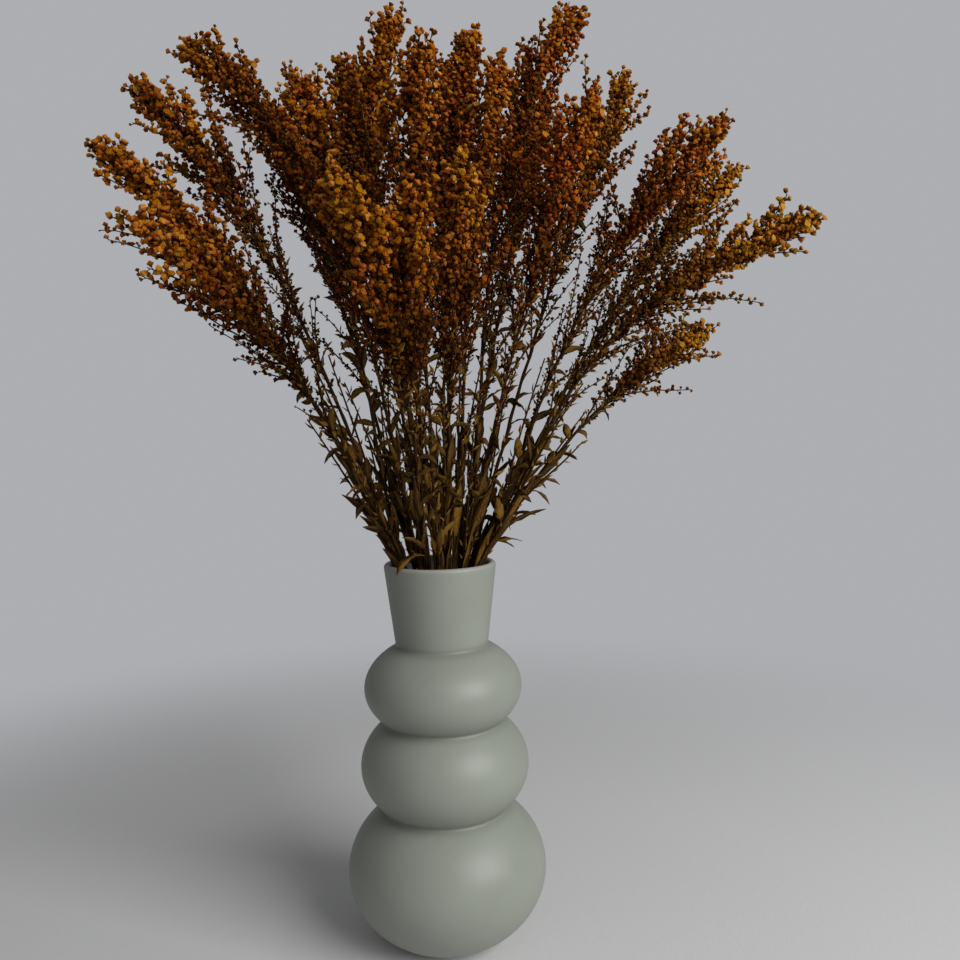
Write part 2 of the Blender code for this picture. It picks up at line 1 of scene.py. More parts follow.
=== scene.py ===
"""Looks for a vase of preserved goldenrod.

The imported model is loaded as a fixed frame. Each of its nodes gives its place to a finer
piece of the same form: the vase is turned again with a smooth outline, each stem gets its
leaves and shoots, and each plume gets its many small flower heads. The lines of the stalks,
their side branches and their larger leaves follow the same rules as the solids, so every
piece sits where its solid is. Units are metres and +Z is up.
"""

from functools import cache, partial
from math import cos, pi, radians, sin
from types import SimpleNamespace

import bpy
import numpy as np
from bpy.props import FloatProperty, FloatVectorProperty, PointerProperty
from mathutils import Matrix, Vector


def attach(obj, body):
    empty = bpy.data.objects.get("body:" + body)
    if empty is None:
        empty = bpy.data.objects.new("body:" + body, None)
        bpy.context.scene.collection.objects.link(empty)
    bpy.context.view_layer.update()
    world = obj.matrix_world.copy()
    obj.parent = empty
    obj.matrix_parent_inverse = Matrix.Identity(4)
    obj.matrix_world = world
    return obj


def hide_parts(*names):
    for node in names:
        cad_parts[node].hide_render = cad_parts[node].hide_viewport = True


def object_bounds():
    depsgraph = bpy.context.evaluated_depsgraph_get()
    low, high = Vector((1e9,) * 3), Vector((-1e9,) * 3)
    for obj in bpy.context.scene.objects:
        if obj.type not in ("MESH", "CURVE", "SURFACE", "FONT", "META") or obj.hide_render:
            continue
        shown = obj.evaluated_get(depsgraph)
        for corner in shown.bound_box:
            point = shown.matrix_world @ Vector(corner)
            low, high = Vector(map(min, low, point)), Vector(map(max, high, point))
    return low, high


bl_info = {
    "name": "Vase of Goldenrod",
    "version": (1, 0, 0),
    "blender": (4, 5, 0),
    "location": "View3D > Sidebar > Goldenrod",
    "description": "Dresses a packed vase of goldenrod with its glaze, leaves and flower heads",
    "category": "Add Mesh",
}

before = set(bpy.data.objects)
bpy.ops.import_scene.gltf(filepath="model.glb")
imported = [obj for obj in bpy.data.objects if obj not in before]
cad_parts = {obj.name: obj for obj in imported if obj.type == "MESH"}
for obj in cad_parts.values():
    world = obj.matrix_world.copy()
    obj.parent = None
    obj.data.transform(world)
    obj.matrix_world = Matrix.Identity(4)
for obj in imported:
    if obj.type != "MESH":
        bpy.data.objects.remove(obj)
CAD_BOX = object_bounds()
BOX_LOW, BOX_HIGH = np.array(CAD_BOX)

# Vase
VASE_HEIGHT = 0.245
WALL = 0.0044
FLOOR_THICKNESS = 0.006
RIM_RADIUS = 0.0362
NECK_RADIUS = 0.0297
NECK_BOTTOM = 0.192
# Centre height, radius and half height of each bulb, from the foot up
BULBS = (
    (0.0471, 0.0640, 0.0510),
    (0.1145, 0.0542, 0.0401),
    (0.1650, 0.0507, 0.0329),
)
GROOVES = (0.0870, 0.1432, NECK_BOTTOM)
GROOVE_SHARPNESS = 24

# Stalks: name, tip, length and width of the plume, nod of the tip, sideways bow, tone
STALKS = (
    ("left_low", (-0.148, -0.120, 0.439), 0.135, 0.066, 0.55, 0.005, "amber"),
    ("left_far", (-0.187, -0.070, 0.493), 0.145, 0.050, 0.60, 0.000, "amber"),
    ("left_upper", (-0.187, -0.015, 0.544), 0.135, 0.050, 0.75, 0.000, "amber"),
    ("left_top", (-0.175, 0.045, 0.588), 0.150, 0.056, 0.90, 0.018, "amber"),
    ("left_crown", (-0.080, -0.024, 0.550), 0.150, 0.076, 0.35, 0.000, "amber"),
    ("crown_left", (-0.060, 0.040, 0.581), 0.150, 0.062, 0.20, 0.000, "amber"),
    ("tall_left", (-0.014, 0.015, 0.601), 0.165, 0.060, 0.10, -0.029, "amber"),
    ("peak", (0.000, -0.064, 0.549), 0.140, 0.068, 0.10, -0.006, "amber"),
    ("spike", (0.032, 0.056, 0.606), 0.140, 0.058, 0.25, -0.012, "rust"),
    ("crown_right", (0.047, -0.015, 0.557), 0.150, 0.064, 0.10, -0.006, "rust"),
    ("tall_right", (0.105, 0.034, 0.609), 0.155, 0.058, 0.55, -0.016, "rust"),
    ("right_crown", (0.101, -0.032, 0.530), 0.145, 0.072, 0.30, 0.000, "rust"),
    ("right_twig", (0.137, 0.062, 0.575), 0.110, 0.040, 0.20, 0.000, "mustard"),
    ("right_arm", (0.192, 0.000, 0.519), 0.145, 0.062, 0.50, -0.008, "rust"),
    ("right_back", (0.220, 0.070, 0.510), 0.125, 0.046, 0.50, 0.000, "mustard"),
    ("far_right", (0.244, -0.016, 0.454), 0.165, 0.052, 0.60, -0.026, "mustard"),
    ("low_right", (0.185, 0.020, 0.393), 0.105, 0.034, 0.60, 0.000, "mustard"),
    ("front_left", (-0.039, -0.165, 0.444), 0.135, 0.066, 0.45, 0.011, "amber"),
    ("front_mid", (0.000, -0.150, 0.443), 0.125, 0.060, 0.35, -0.010, "amber"),
    ("centre", (0.022, -0.104, 0.472), 0.130, 0.060, 0.25, 0.000, "amber"),
    ("back_left", (-0.125, 0.092, 0.573), 0.140, 0.062, 0.35, 0.000, "amber"),
    ("back_mid", (0.011, 0.112, 0.607), 0.140, 0.064, 0.25, 0.000, "rust"),
    ("back_right", (0.084, 0.104, 0.573), 0.140, 0.062, 0.30, 0.000, "amber"),
)

# How a stalk runs: it leaves the rim at EXIT_REACH at most, and bends inside the neck
EXIT_REACH = 0.0275
EXIT_POWER = 0.8
FULL_LEAN = 0.190
FOOT_REACH = 0.45
SHARPEST_BEND = 9.0
# Makes a bow reach its given size at two thirds of the rise, where it is widest
BOW_SCALE = 6.75
SEAT_GAP = 0.0003
STEM_FOOT_RADIUS = 0.0015
STEM_TOP_RADIUS = 0.0010
LINE_TOLERANCE = 0.0009
SHORTEST_STEP = 0.002
LOOK_AHEAD = 0.001

# How the stalks make room for each other, level by level
LEVEL_STEP = 0.010
TIP_MARGIN = 0.004
SLANT_ALLOWANCE = 1.2
STEM_ROOM = 0.0009
PLUME_ROOM = 0.0080
SETTLE_STEPS = 400
LAST_PUSHES = 60
RIM_ZONE = 0.014
RIM_OPENING = 0.35
NO_WALL = 1.0
SMOOTHING = 0.3
RETURN = 0.02

# The main side branches of a plume, as thick as the florets on them
PLUME_SEED = 7
PLUME_BASE_SHARE = 0.65
PLUME_FULL_FROM = 0.20
PLUME_TAPER = 0.80
RACHIS_BARE = 0.012
CORE_SHARE = 0.10
CORE_TIP_SHARE = 0.65
CORE_BEAD_LENGTH = 0.0225
CORE_WAIST = 0.60
SPRAY_SPACING = 0.0160
SPRAY_START = 0.006
SPRAY_END = 0.022
SPRAY_OPENING = (34.0, 18.0)
SPRAY_ROOT_RADIUS = 0.0009
SPRAY_BARE_SHARE = 0.22
SPRAY_STEPS = 6
SPRAY_LIFT = 0.25
BEAD_RADIUS = 0.0070
BEAD_TIP_SHARE = 0.66
BEAD_LENGTH = 0.0155
BEAD_WAIST = 0.42
BEAD_STAGGER = 0.20
MAX_BEADS = 3
SPRAY_TURN = 0.7
SPRAY_TRIES = (1.0, 1.0, 1.0, 0.8, 0.8, 0.8, 0.6, 0.6, 0.45, 0.45)
PART_GAP = 0.0005

# The larger leaves, and the bare lengths of stem above the rim and below the plume
LEAF_SEED = 21
LEAF_SPACING = 0.053
FEWEST_LEAVES = 3
LEAFLESS = (0.012, 0.008)
LEAF_SCATTER = 0.8
LEAF_LENGTH = (0.009, 0.020)
LEAF_HALF_WIDTH = (0.0020, 0.0034)
LEAF_OPENING = (28.0, 55.0)
LEAF_SHARES = (0.0, 0.30, 0.66, 1.0)
LEAF_WIDTHS = (0.22, 0.95, 0.75, 0.0)
LEAF_DROOP = 1.1
LEAF_DROOP_SPREAD = (0.2, 1.0)
LEAF_ROLL = 35.0
LEAF_STEPS = 12
LEAF_TESTS = 12
LEAF_FREE_FROM = 0.12
LEAF_NARROWING = 0.6
LEAF_NARROWING_SPREAD = (0.6, 1.0)
LEAF_TURN = 0.55
LEAF_SHORTENING = 0.05
LEAF_TRIES = 12
UPRIGHT = 0.05
# Leaves by the rim: stalk, height of the root, heading in degrees, rise, length, droop
RIM_LEAVES = (
    ("front_left", 0.253, -146.0, 0.44, 0.025, 1.7),
    ("far_right", 0.256, 11.0, 0.57, 0.022, 0.9),
    ("crown_right", 0.258, -67.0, 4.22, 0.041, 0.5),
)
RIM_LEAF_HALF_WIDTH = 0.0037
GOLDEN_ANGLE = radians(137.508)

# Fine detail that the solids leave out, kept within their box
DETAIL_SEED = 5
BOX_MARGIN = 0.0002
HEAD_MARGIN = 0.0024
# Marks that the materials read from the meshes
MARKS = ("ripeness", "chance", "tint", "along", "across", "pooled", "thinned", "bare")
# Material slots of a stem, and of a plume
BARK_SLOT = 0
LEAF_SLOT = 1
SHOOT_HEAD_SLOT = 2
PLUME_HEAD_SLOT = 1
# Where a small part may stand on its own stretch of a raceme or shoot
SPOT_SCATTER = (0.2, 0.8)

# The vase's smooth outline; its inside wall starts at some thicknesses of the floor
FINE_SEGMENTS = 96
FINE_LIP_POINTS = 10
OUTSIDE_POINTS = 84
INSIDE_POINTS = 24
INSIDE_START = 1.5
GROOVE_POINTS = 13
GROOVE_REACH = 0.004
FOOT_RING = 0.0045
FOOT_RECESS = 0.0015
POOL_WIDTH = 0.0024

# The stems' uneven rods: their stations inside the vase and above, slow waves and knots
HIDDEN_POINTS = 10
ROD_DEPTH = 0.024
ROD_STEP = 0.004
ROD_SIDES = 7
ROD_WAVES = (0.031, 0.050, 0.069)
ROD_SWAY = 0.00035
ROD_ENDS = 0.02
WAVE_SHIFT = 5.0
KNOT_SPACING = 0.0153
KNOT_SIZE = 0.09
KNOT_SHIFT = 6.0
BARK_SHADE = 0.8

# Racemes, the finger-like side branches of a plume, low and high on it
RACEME_OPENING = (48.0, 14.0)
RACEME_OPENING_SPREAD = (0.8, 1.2)
RACEME_SCATTER = (0.1, 0.9)
RACEME_REACH = (0.50, 1.25)
RACEME_WIDTH = 1.25
RACEME_TAPER = 0.60
LONGEST_RACEME = 0.050
RACEME_TURN = 0.6
RACEME_BEND = 0.35
RACEME_RADII = (0.00065, 0.00022)
RACEME_SIDES = 4
# The longest raceme, as a share of the plume's length above its root
RACEME_LIMIT = 0.72
# A power below 1, so that more of the racemes stand high on the plume
RACEMES_GATHER = 0.85
# Racemes are shorter at a plume's foot, and have their full length from a share of it on
SLIM_FOOT = 0.55
SLIM_UPTO = 0.35
# Plumes are slimmer where their tip stands far to the front, by the tip's Y
FRONT_PLACES = (-0.15, -0.09)
FRONT_WIDTHS = (0.85, 1.0)
# Plumes that are bushier than others of their width
BUSHIER = {
    "left_crown": 1.3,
    "right_crown": 1.2,
    "right_twig": 1.5,
    "right_arm": 1.35,
    "back_right": 1.2,
}
# A plume's middle branch, and where the heads on it start
LEADER_FROM = 0.20
LEADER_STEPS = 12
LEADER_SPACING = 0.0019
LEADER_RADII = (STEM_TOP_RADIUS, 0.0004)
LEADER_GAP = 0.002
# How full of heads racemes are at a plume's base, at a share of it, and further up; barer racemes
# also get darker heads, painted shade low in the plume
LEAST_FULL_AND_LIT = 0.08
HALF_FULL_FROM = 0.30
HALF_FULL_AND_LIT = 0.36
FULL_FROM = 0.58

# Branchlets on a raceme: length at its start and at its end, opening and lift
BRANCHLETS_FROM = 0.10
BRANCHLET_LENGTH = (0.0060, 0.0017)
BRANCHLET_SPREAD = (0.75, 1.2)
BRANCHLET_OPENING = (32.0, 62.0)
BRANCHLET_LIFT = 0.22
BRANCHLET_RADII = (0.00032, 0.00020)
BRANCHLET_SIDES = 3
# A raceme is barer at its root, and as full as it gets from a share of it on; heads near its root
# are darker, painted shade near the plume's middle
BARE_SHADED_SPOT = 0.4
FULL_SPOT = 0.45

# Heads on a branchlet, the first at its end and the others beside it
MOST_HEADS = 5
LOWEST_HEAD = 0.16
FIRST_HEAD_OPENING = (0.0, 28.0)
HEAD_OPENING = (35.0, 75.0)
HEAD_LIFT = 0.3
HEAD_SPREAD = (0.70, 1.25)
HEAD_SINK = 0.15
# Where a raceme is bare its heads are smaller and fewer, and darker with painted shade
POOR_HEAD = 0.74
POOR_CHANCE = 0.62
SURE_FROM = 0.6
RAW_SHADED_RIPENESS = 0.12
# How much the lightness varies from branchlet to branchlet, and from head to head
SHADE_SPREAD = 0.22
CHANCE_SPREAD = 0.13

# Flower heads, in head widths: how far the tuft stands, its radius and its middle's height
OPEN_TUFT = (0.84, 0.54, 1.00)
CLOSED_TUFT = (0.80, 0.44, 1.18)
HEAD_WAIST = (0.34, 0.36)
HEAD_MIDDLE = 0.5
HEAD_REACH = 0.72
WAIST_RIPENESS = 0.45
HEAD_SIDES = 5
HEAD_KINDS = 5
HEAD_UNEVENNESS = 0.26
BUD_RADIUS = 0.50
BUD_BELLY = (0.5, 0.75)
BUD_RIPENESS = 0.7

# Shoots that run beside a stem: upper ones with heads, and lower leafy ones from the neck
SHOOT_POINTS = 9
SHOOT_CURVE = 1.3
SHOOT_ROOM = 0.0012
SHOOT_SWAY = 0.0011
SWAY_SHIFT = 6.0
SHOOT_LIMIT = 0.85
SHOOT_SCATTER = 0.8
SHOOT_BRANCHLET_SPACING = 0.0030
UPPER_SHOOTS_FROM = 0.070
UPPER_SHOOTS_TO = 0.36
UPPER_SHOOTS_SPAN = 0.115
UPPER_SHOOTS_GATHER = 0.6
# How full the lowest and highest upper shoots are: barer ones have darker heads, painted shade
UPPER_SHOOT_FULL_AND_LIT = (0.25, 0.95)
UPPER_SHOOT_GIRTH = (0.60, 1.00)
UPPER_SHOOT = SimpleNamespace(
    length=(0.035, 0.078), opening=(10.0, 30.0), radii=(0.00062, 0.00024), sides=4, leafy=0.6
)
LOWER_SHOOTS = 2
LOWER_SHOOTS_BELOW = 0.024
LOWER_SHOOTS_ABOVE = 0.030
LOWER_SHOOT = SimpleNamespace(
    length=(0.060, 0.135), opening=(2.5, 8.0), radii=(0.00105, 0.00045), sides=5, leafy=1.0
)

# Small leaves: length and half width low and high on the stem, range of opening and droop
STEM_LEAF = SimpleNamespace(
    length=(0.0190, 0.0125),
    half_width=(0.0028, 0.0020),
    opening=(14.0, 52.0),
    droop=(0.2, 2.7),
    twist=2.4,
)
CLINGING_LEAF = SimpleNamespace(
    length=(0.042, 0.022),
    half_width=(0.0031, 0.0024),
    opening=(2.0, 10.0),
    droop=(-0.2, 0.9),
    twist=1.4,
)
STEM_LEAVES_FROM = 0.024
STEM_LEAVES_TO = 0.1
CLINGING_SPACING = 0.0095
CLINGING_FROM = -0.016
CLINGING_TO = 0.075
SMALL_LEAF_SCATTER = 0.9
LEAF_UNEVENNESS = (0.65, 1.15)
LEAF_ROOM = 0.5
LARGE_LEAF_TWIST = 0.5
# Lightness of a leaf, from 0 to 1: the range of the larger leaves, and a power that makes
# most of the small ones dark
LARGE_LEAF_CHANCE = (0.7, 1.0)
SMALL_LEAF_DARKNESS = 3.2
# The smallest leaves, on the shoots
BRACTS_FROM = 0.05
BRACT_SPACING = 0.0052
BRACT_LENGTH = (0.0038, 0.0080)
BRACT_OPENING = (22.0, 50.0)
BRACT_HALF_WIDTH = 0.17
BRACT_CHANCE = (0.0, 0.6)

# Blades: stations, thickness, outline, fold, and the ripple of their edges
BLADE_POINTS = 7
BLADE_THICKNESS = 0.00032
BLADE_STALK = 0.12
BLADE_TIP = 0.03
BLADE_OUTLINE = (0.92, 0.85)
BLADE_FOLD = (0.2, 0.9)
BLADE_RIPPLE = 0.22
RIPPLE_TURN = (7.0, 13.0)
# How much of its fold the palest leaf loses
FLATTER = 0.6
# Points round a blade's section, in half widths: three on top and three under it
BLADE_SPOTS = np.array((-1.0, 0.0, 1.0, 0.5, 0.0, -0.5))
BLADE_UNDER = np.array((0.0, 0.0, 0.0, 1.0, 1.0, 1.0))

# Florets: where the husk ends, stops further up with their brightness, the tip's brightness
# in red, green and blue, and how heads and whole patches of them vary
HUSK_STOP = 0.12
FLORET_STOPS = ((0.45, 0.42), (0.80, 1.0))
TIP_BRIGHTNESS = (1.12, 1.70, 1.6)
HEAD_HUE = (-0.009, 0.006)
PATCH_HUE = (0.496, 0.505)
HEAD_SATURATION = (1.05, 0.97)
HEAD_VALUE = (0.58, 1.28)
# Depth of the fine relief
FLORET_RELIEF = 0.0007
PLANT_RELIEF = 0.0003
FLOOR_RELIEF = 0.0001

# Stage: the floor fades between two distances from the vase
FLOOR_RADIUS = 1.2
FLOOR_SIDES = 96
FLOOR_FADE = (0.22, 0.95)
LAMP_PLACE = (1.20, -1.05, 1.00)
LAMP_TARGET = (0.0, 0.0, 0.30)
LAMP_SIZE = (1.25, 1.15)
AMBIENT_COLOUR = (0.98, 0.99, 1.0)
SENSOR_WIDTH = 36.0
CLIP_START = 0.01
CLIP_END = 50.0

# A colour and a length, as the settings hold them
Colour = partial(FloatVectorProperty, subtype="COLOR", size=3, min=0.0, max=1.0)
Length = partial(FloatProperty, subtype="DISTANCE", unit="LENGTH")


class VaseSettings(bpy.types.PropertyGroup):
    """Finish of the vase."""

    glaze_colour: Colour(
        name="Glaze",
        description="Colour of the satin glaze on the bulbs and neck",
        default=(0.268, 0.286, 0.248),
    )
    pooled_colour: Colour(
        name="Pooled glaze",
        description="Colour of the glaze where it gathers in the grooves",
        default=(0.200, 0.215, 0.180),
    )
    clay_colour: Colour(
        name="Clay",
        description="Colour of the bare clay under the foot and through the thin glaze of the lip",
        default=(0.42, 0.41, 0.36),
    )
    relief: Length(
        name="Glaze relief",
        description="Height of the fine dimples in the glaze",
        min=0.0, max=0.001, default=0.00003, precision=6,
    )


class StemSettings(bpy.types.PropertyGroup):
    """Sizes and colours of the stems, shoots and leaves."""

    stem_colour: Colour(
        name="Stem",
        description="Colour of the dry bark low on the stems",
        default=(0.062, 0.026, 0.0036),
    )
    twig_colour: Colour(
        name="Twig",
        description="Colour of the thin shoots and of the stems' upper ends",
        default=(0.040, 0.015, 0.0022),
    )
    lichen_colour: Colour(
        name="Olive bark",
        description="Colour of the olive patches on the bark",
        default=(0.058, 0.034, 0.0045),
    )
    leaf_colour: Colour(
        name="Leaf",
        description="Main colour of the dry leaves",
        default=(0.165, 0.085, 0.0095),
    )
    leaf_edge_colour: Colour(
        name="Leaf edge",
        description="Colour of the leaves' withered edges and tips",
        default=(0.070, 0.026, 0.005),
    )
    leaf_spacing: Length(
        name="Leaf spacing",
        description="Length of stem between one small leaf and the next",
        min=0.004, max=0.05, default=0.0115,
    )
    shoot_spacing: Length(
        name="Shoot spacing",
        description="Length of stem between one flowering shoot and the next",
        min=0.004, max=0.05, default=0.0059,
    )


class PlumeSettings(bpy.types.PropertyGroup):
    """Sizes and colours of the flower heads."""

    head_width: Length(
        name="Flower head",
        description="Width of one full flower head",
        min=0.001, max=0.01, default=0.0034,
    )
    head_spacing: Length(
        name="Head spacing",
        description="Length of branchlet between one flower head and the next",
        min=0.0005, max=0.01, default=0.0017,
    )
    branchlet_spacing: Length(
        name="Branchlet spacing",
        description="Length of a raceme between one branchlet and the next",
        min=0.001, max=0.02, default=0.0026,
    )
    raceme_spacing: Length(
        name="Raceme spacing",
        description="Length of plume between one small raceme and the next",
        min=0.002, max=0.02, default=0.0035,
    )
    amber_colour: Colour(
        name="Amber",
        description="Tips of the amber plumes' flower heads",
        default=(0.45, 0.125, 0.0090),
    )
    rust_colour: Colour(
        name="Rust",
        description="Tips of the rust plumes' flower heads",
        default=(0.46, 0.116, 0.0095),
    )
    mustard_colour: Colour(
        name="Mustard",
        description="Tips of the mustard plumes' flower heads",
        default=(0.48, 0.165, 0.0150),
    )
    husk_colour: Colour(
        name="Husk",
        description="Dark husk at the base of every flower head",
        default=(0.040, 0.0070, 0.0006),
    )


class StageSettings(bpy.types.PropertyGroup):
    """Floor, light and camera."""

    floor_colour: Colour(
        name="Floor",
        description="Colour of the plain pale floor",
        default=(0.70, 0.70, 0.70),
    )
    backdrop_colour: Colour(
        name="Backdrop",
        description="Colour seen behind the object",
        default=(0.42, 0.425, 0.445),
    )
    ambient_light: FloatProperty(
        name="Ambient light",
        description="Strength of the even light from all sides",
        min=0.0, max=5.0, default=0.200,
    )
    lamp_power: FloatProperty(
        name="Lamp",
        description="Power of the large soft lamp at the front right",
        subtype="POWER", unit="POWER", min=0.0, max=500.0, default=32.5,
    )
    camera_place: FloatVectorProperty(
        name="Camera",
        description="Place of the camera",
        subtype="TRANSLATION", unit="LENGTH", size=3, default=(0.02707, -0.5498, 0.3257),
    )
    camera_pitch: FloatProperty(
        name="Pitch",
        description="How far the camera looks down",
        subtype="ANGLE", unit="ROTATION", default=radians(3.0),
    )
    camera_roll: FloatProperty(
        name="Roll",
        description="How far the camera leans to its side",
        subtype="ANGLE", unit="ROTATION", default=radians(1.4),
    )
    camera_lens: FloatProperty(
        name="Lens",
        description="Focal length on a sensor 36 mm wide",
        subtype="DISTANCE_CAMERA", unit="CAMERA", default=32.2875,
    )


# The stalks' lines, as in the solids


def unit(vector):
    """A vector's direction, with length 1."""
    return vector / np.linalg.norm(vector)


def units(vectors):
    """The directions of several vectors."""
    return vectors / np.linalg.norm(vectors, axis=-1, keepdims=True)


def across_all(directions):
    """For each of several directions, two unit vectors at right angles to it."""
    steep = np.abs(directions[..., 1:2]) < 0.9
    helper = np.where(steep, (0.0, 1.0, 0.0), (1.0, 0.0, 0.0))
    first = units(np.cross(directions, helper))
    return first, np.cross(directions, first)


def radial(direction, angle):
    """The unit vector at right angles to a direction, at an angle round it."""
    first, second = across_all(direction)
    return cos(angle) * first + sin(angle) * second


def opened(direction, opening, angle):
    """The unit vector that opens from a direction, at an angle round it."""
    return cos(opening) * direction + sin(opening) * radial(direction, angle)


def turned(first, second, angles):
    """The vectors reached by turning from the first ones towards the second ones."""
    return np.cos(angles) * first + np.sin(angles) * second


def angles_round(count):
    """Evenly spaced angles of one full turn."""
    return 2.0 * pi * np.arange(count) / count


def between(share, ends):
    """The value at a share of the way from one end to the other."""
    return np.interp(share, (0.0, 1.0), ends)


def outer_radius(height):
    """Radius of the vase's outside: bulbs and neck, blended in the grooves."""
    height = np.asarray(height, dtype=float)
    neck_slope = (RIM_RADIUS - NECK_RADIUS) / (VASE_HEIGHT - NECK_BOTTOM)
    neck = np.where(height > BULBS[-1][0], NECK_RADIUS + neck_slope * (height - NECK_BOTTOM), 0.0)
    total = (neck / RIM_RADIUS) ** GROOVE_SHARPNESS
    for centre, radius, half_height in BULBS:
        chord = np.sqrt(np.clip(1.0 - ((height - centre) / half_height) ** 2, 0.0, None))
        total = total + (radius * chord / RIM_RADIUS) ** GROOVE_SHARPNESS
    return RIM_RADIUS * total ** (1.0 / GROOVE_SHARPNESS)


def inner_radius(height):
    """Radius of the vase's inside, a wall's thickness in from the outside."""
    height = np.asarray(height, dtype=float)
    step = 0.0005
    slope = (outer_radius(height + step) - outer_radius(height - step)) / (2.0 * step)
    return outer_radius(height) - WALL * np.sqrt(1.0 + slope ** 2)


def level_heights():
    """Heights of the levels at which the stalks make room for each other."""
    highest = max(row[1][2] for row in STALKS)
    lowest = FLOOR_THICKNESS + SEAT_GAP
    return np.linspace(lowest, highest, 1 + round((highest - lowest) / LEVEL_STEP))


def wished_line(tip, nod, bow, heights):
    """Where a stalk would run with no neighbours, as x and y at each height."""
    tip = np.array(tip)
    lean = np.linalg.norm(tip[:2])
    outward = tip[:2] / lean
    leave = outward * EXIT_REACH * min(1.0, lean / FULL_LEAN) ** EXIT_POWER
    foot = leave * FOOT_REACH
    rise = tip[2] - VASE_HEIGHT
    spread = tip[:2] - leave
    slope = np.linalg.norm(spread) / (rise * (1.0 + nod))
    inside_height = VASE_HEIGHT - heights[0]
    bend = np.clip(slope * inside_height / np.linalg.norm(leave - foot), 1.0, SHARPEST_BEND)
    along = np.clip((heights - heights[0]) / inside_height, 0.0, 1.0)
    below = foot + (leave - foot) * along[:, None] ** bend
    climb = np.clip((heights - VASE_HEIGHT) / rise, 0.0, 1.0)
    share = ((1.0 + nod) - np.sqrt((1.0 + nod) ** 2 - 4.0 * nod * climb)) / (2.0 * nod)
    above = leave + spread * share[:, None]
    above[:, 0] += bow * BOW_SCALE * climb ** 2 * (1.0 - climb)
    return np.where(heights[:, None] < VASE_HEIGHT, below, above)


def line_lengths(points):
    """Length along a line of points, from its start to each point."""
    steps = np.linalg.norm(np.diff(points, axis=0), axis=1)
    return np.concatenate(((0.0,), np.cumsum(steps)))


def point_along(points, lengths, wanted):
    """The points at given lengths along a line."""
    return np.stack([np.interp(wanted, lengths, points[:, i]) for i in range(3)], axis=-1)


def settled_lines():
    """Every stalk's line, moved apart from its neighbours and kept within the vase."""
    heights = level_heights()
    tips = np.array([row[1] for row in STALKS])
    wished = np.array([wished_line(row[1], row[4], row[5], heights) for row in STALKS])
    active = heights[None] < tips[:, 2:3] - TIP_MARGIN
    room = np.zeros(active.shape)
    for i, row in enumerate(STALKS):
        line = np.column_stack((wished[i], heights))[active[i]]
        left = line_lengths(line)[-1] - line_lengths(line)
        thick = np.interp(left, (row[2], left[0]), (STEM_TOP_RADIUS, STEM_FOOT_RADIUS))
        room[i, active[i]] = np.where(left < row[2], PLUME_ROOM, thick * SLANT_ALLOWANCE + STEM_ROOM)
    need = room[:, None] + room[None]
    both = active[:, None] & active[None] & ~np.eye(len(STALKS), dtype=bool)[..., None]
    above_rim = np.clip(heights - VASE_HEIGHT, 0.0, None)
    wall = inner_radius(np.minimum(heights, VASE_HEIGHT - WALL / 2.0)) + RIM_OPENING * above_rim
    wall = np.where(above_rim < RIM_ZONE, wall, NO_WALL)
    lines = wished.copy()
    for step in range(SETTLE_STEPS):
        if step < SETTLE_STEPS - LAST_PUSHES:
            shift = lines - wished
            middle = (shift[:, :-2] + shift[:, 2:]) / 2.0
            shift[:, 1:-1] += SMOOTHING * (middle - shift[:, 1:-1])
            lines = wished + (1.0 - RETURN) * shift
        gap = lines[:, None] - lines[None]
        distance = np.linalg.norm(gap, axis=-1) + 1e-9
        push = np.clip(need - distance, 0.0, None) * both / distance
        lines += 0.5 * (gap * push[..., None]).sum(axis=1)
        limit = wall - room
        off_axis = np.linalg.norm(lines, axis=-1) + 1e-9
        lines *= np.minimum(1.0, limit / off_axis)[..., None]
    full = []
    for i, tip in enumerate(tips):
        levels = np.flatnonzero(active[i])
        line = np.column_stack((lines[i, levels], heights[levels]))
        shift = np.append(lines[i, levels[-1]] - wished[i, levels[-1]], 0.0)
        full.append(np.vstack((line, tip + shift)))
    return full


def thinned(points, tolerance):
    """The fewest of a line's points that keep it within a tolerance of its route."""
    if len(points) < 3:
        return points
    chord = unit(points[-1] - points[0])
    offset = points - points[0]
    away = np.linalg.norm(offset - np.outer(offset @ chord, chord), axis=1)
    furthest = int(np.argmax(away))
    if away[furthest] < tolerance:
        return points[[0, -1]]
    first = thinned(points[: furthest + 1], tolerance)
    return np.vstack((first[:-1], thinned(points[furthest:], tolerance)))


class Space:
    """The pieces placed so far, each a round-ended rod with a radius and an owner."""

    def __init__(self):
        self.starts = np.empty((0, 3))
        self.ends = np.empty((0, 3))
        self.radii = np.empty(0)
        self.owners = np.empty(0, dtype=object)

    def add(self, points, radii, owner):
        """Place a line of points, as thick at each rod as the wider of its two ends."""
        points = np.asarray(points)
        radii = np.asarray(radii)
        self.starts = np.vstack((self.starts, points[:-1]))
        self.ends = np.vstack((self.ends, points[1:]))
        self.radii = np.append(self.radii, np.maximum(radii[:-1], radii[1:]))
        self.owners = np.append(self.owners, [owner] * (len(points) - 1))

    def is_free(self, points, radii, owner):
        """Whether balls at these points clear the vase and every other owner's rods."""
        points = np.asarray(points)
        radii = np.asarray(radii) + PART_GAP
        others = self.owners != owner
        starts = self.starts[others]
        rods = self.ends[others] - starts
        offset = points[:, None] - starts[None]
        share = (offset * rods).sum(axis=-1) / np.maximum((rods * rods).sum(axis=-1), 1e-12)
        nearest = offset - np.clip(share, 0.0, 1.0)[..., None] * rods
        gaps = np.linalg.norm(nearest, axis=-1) - self.radii[others][None] - radii[:, None]
        return bool(gaps.min() > 0.0) and clears_vase(points, radii)


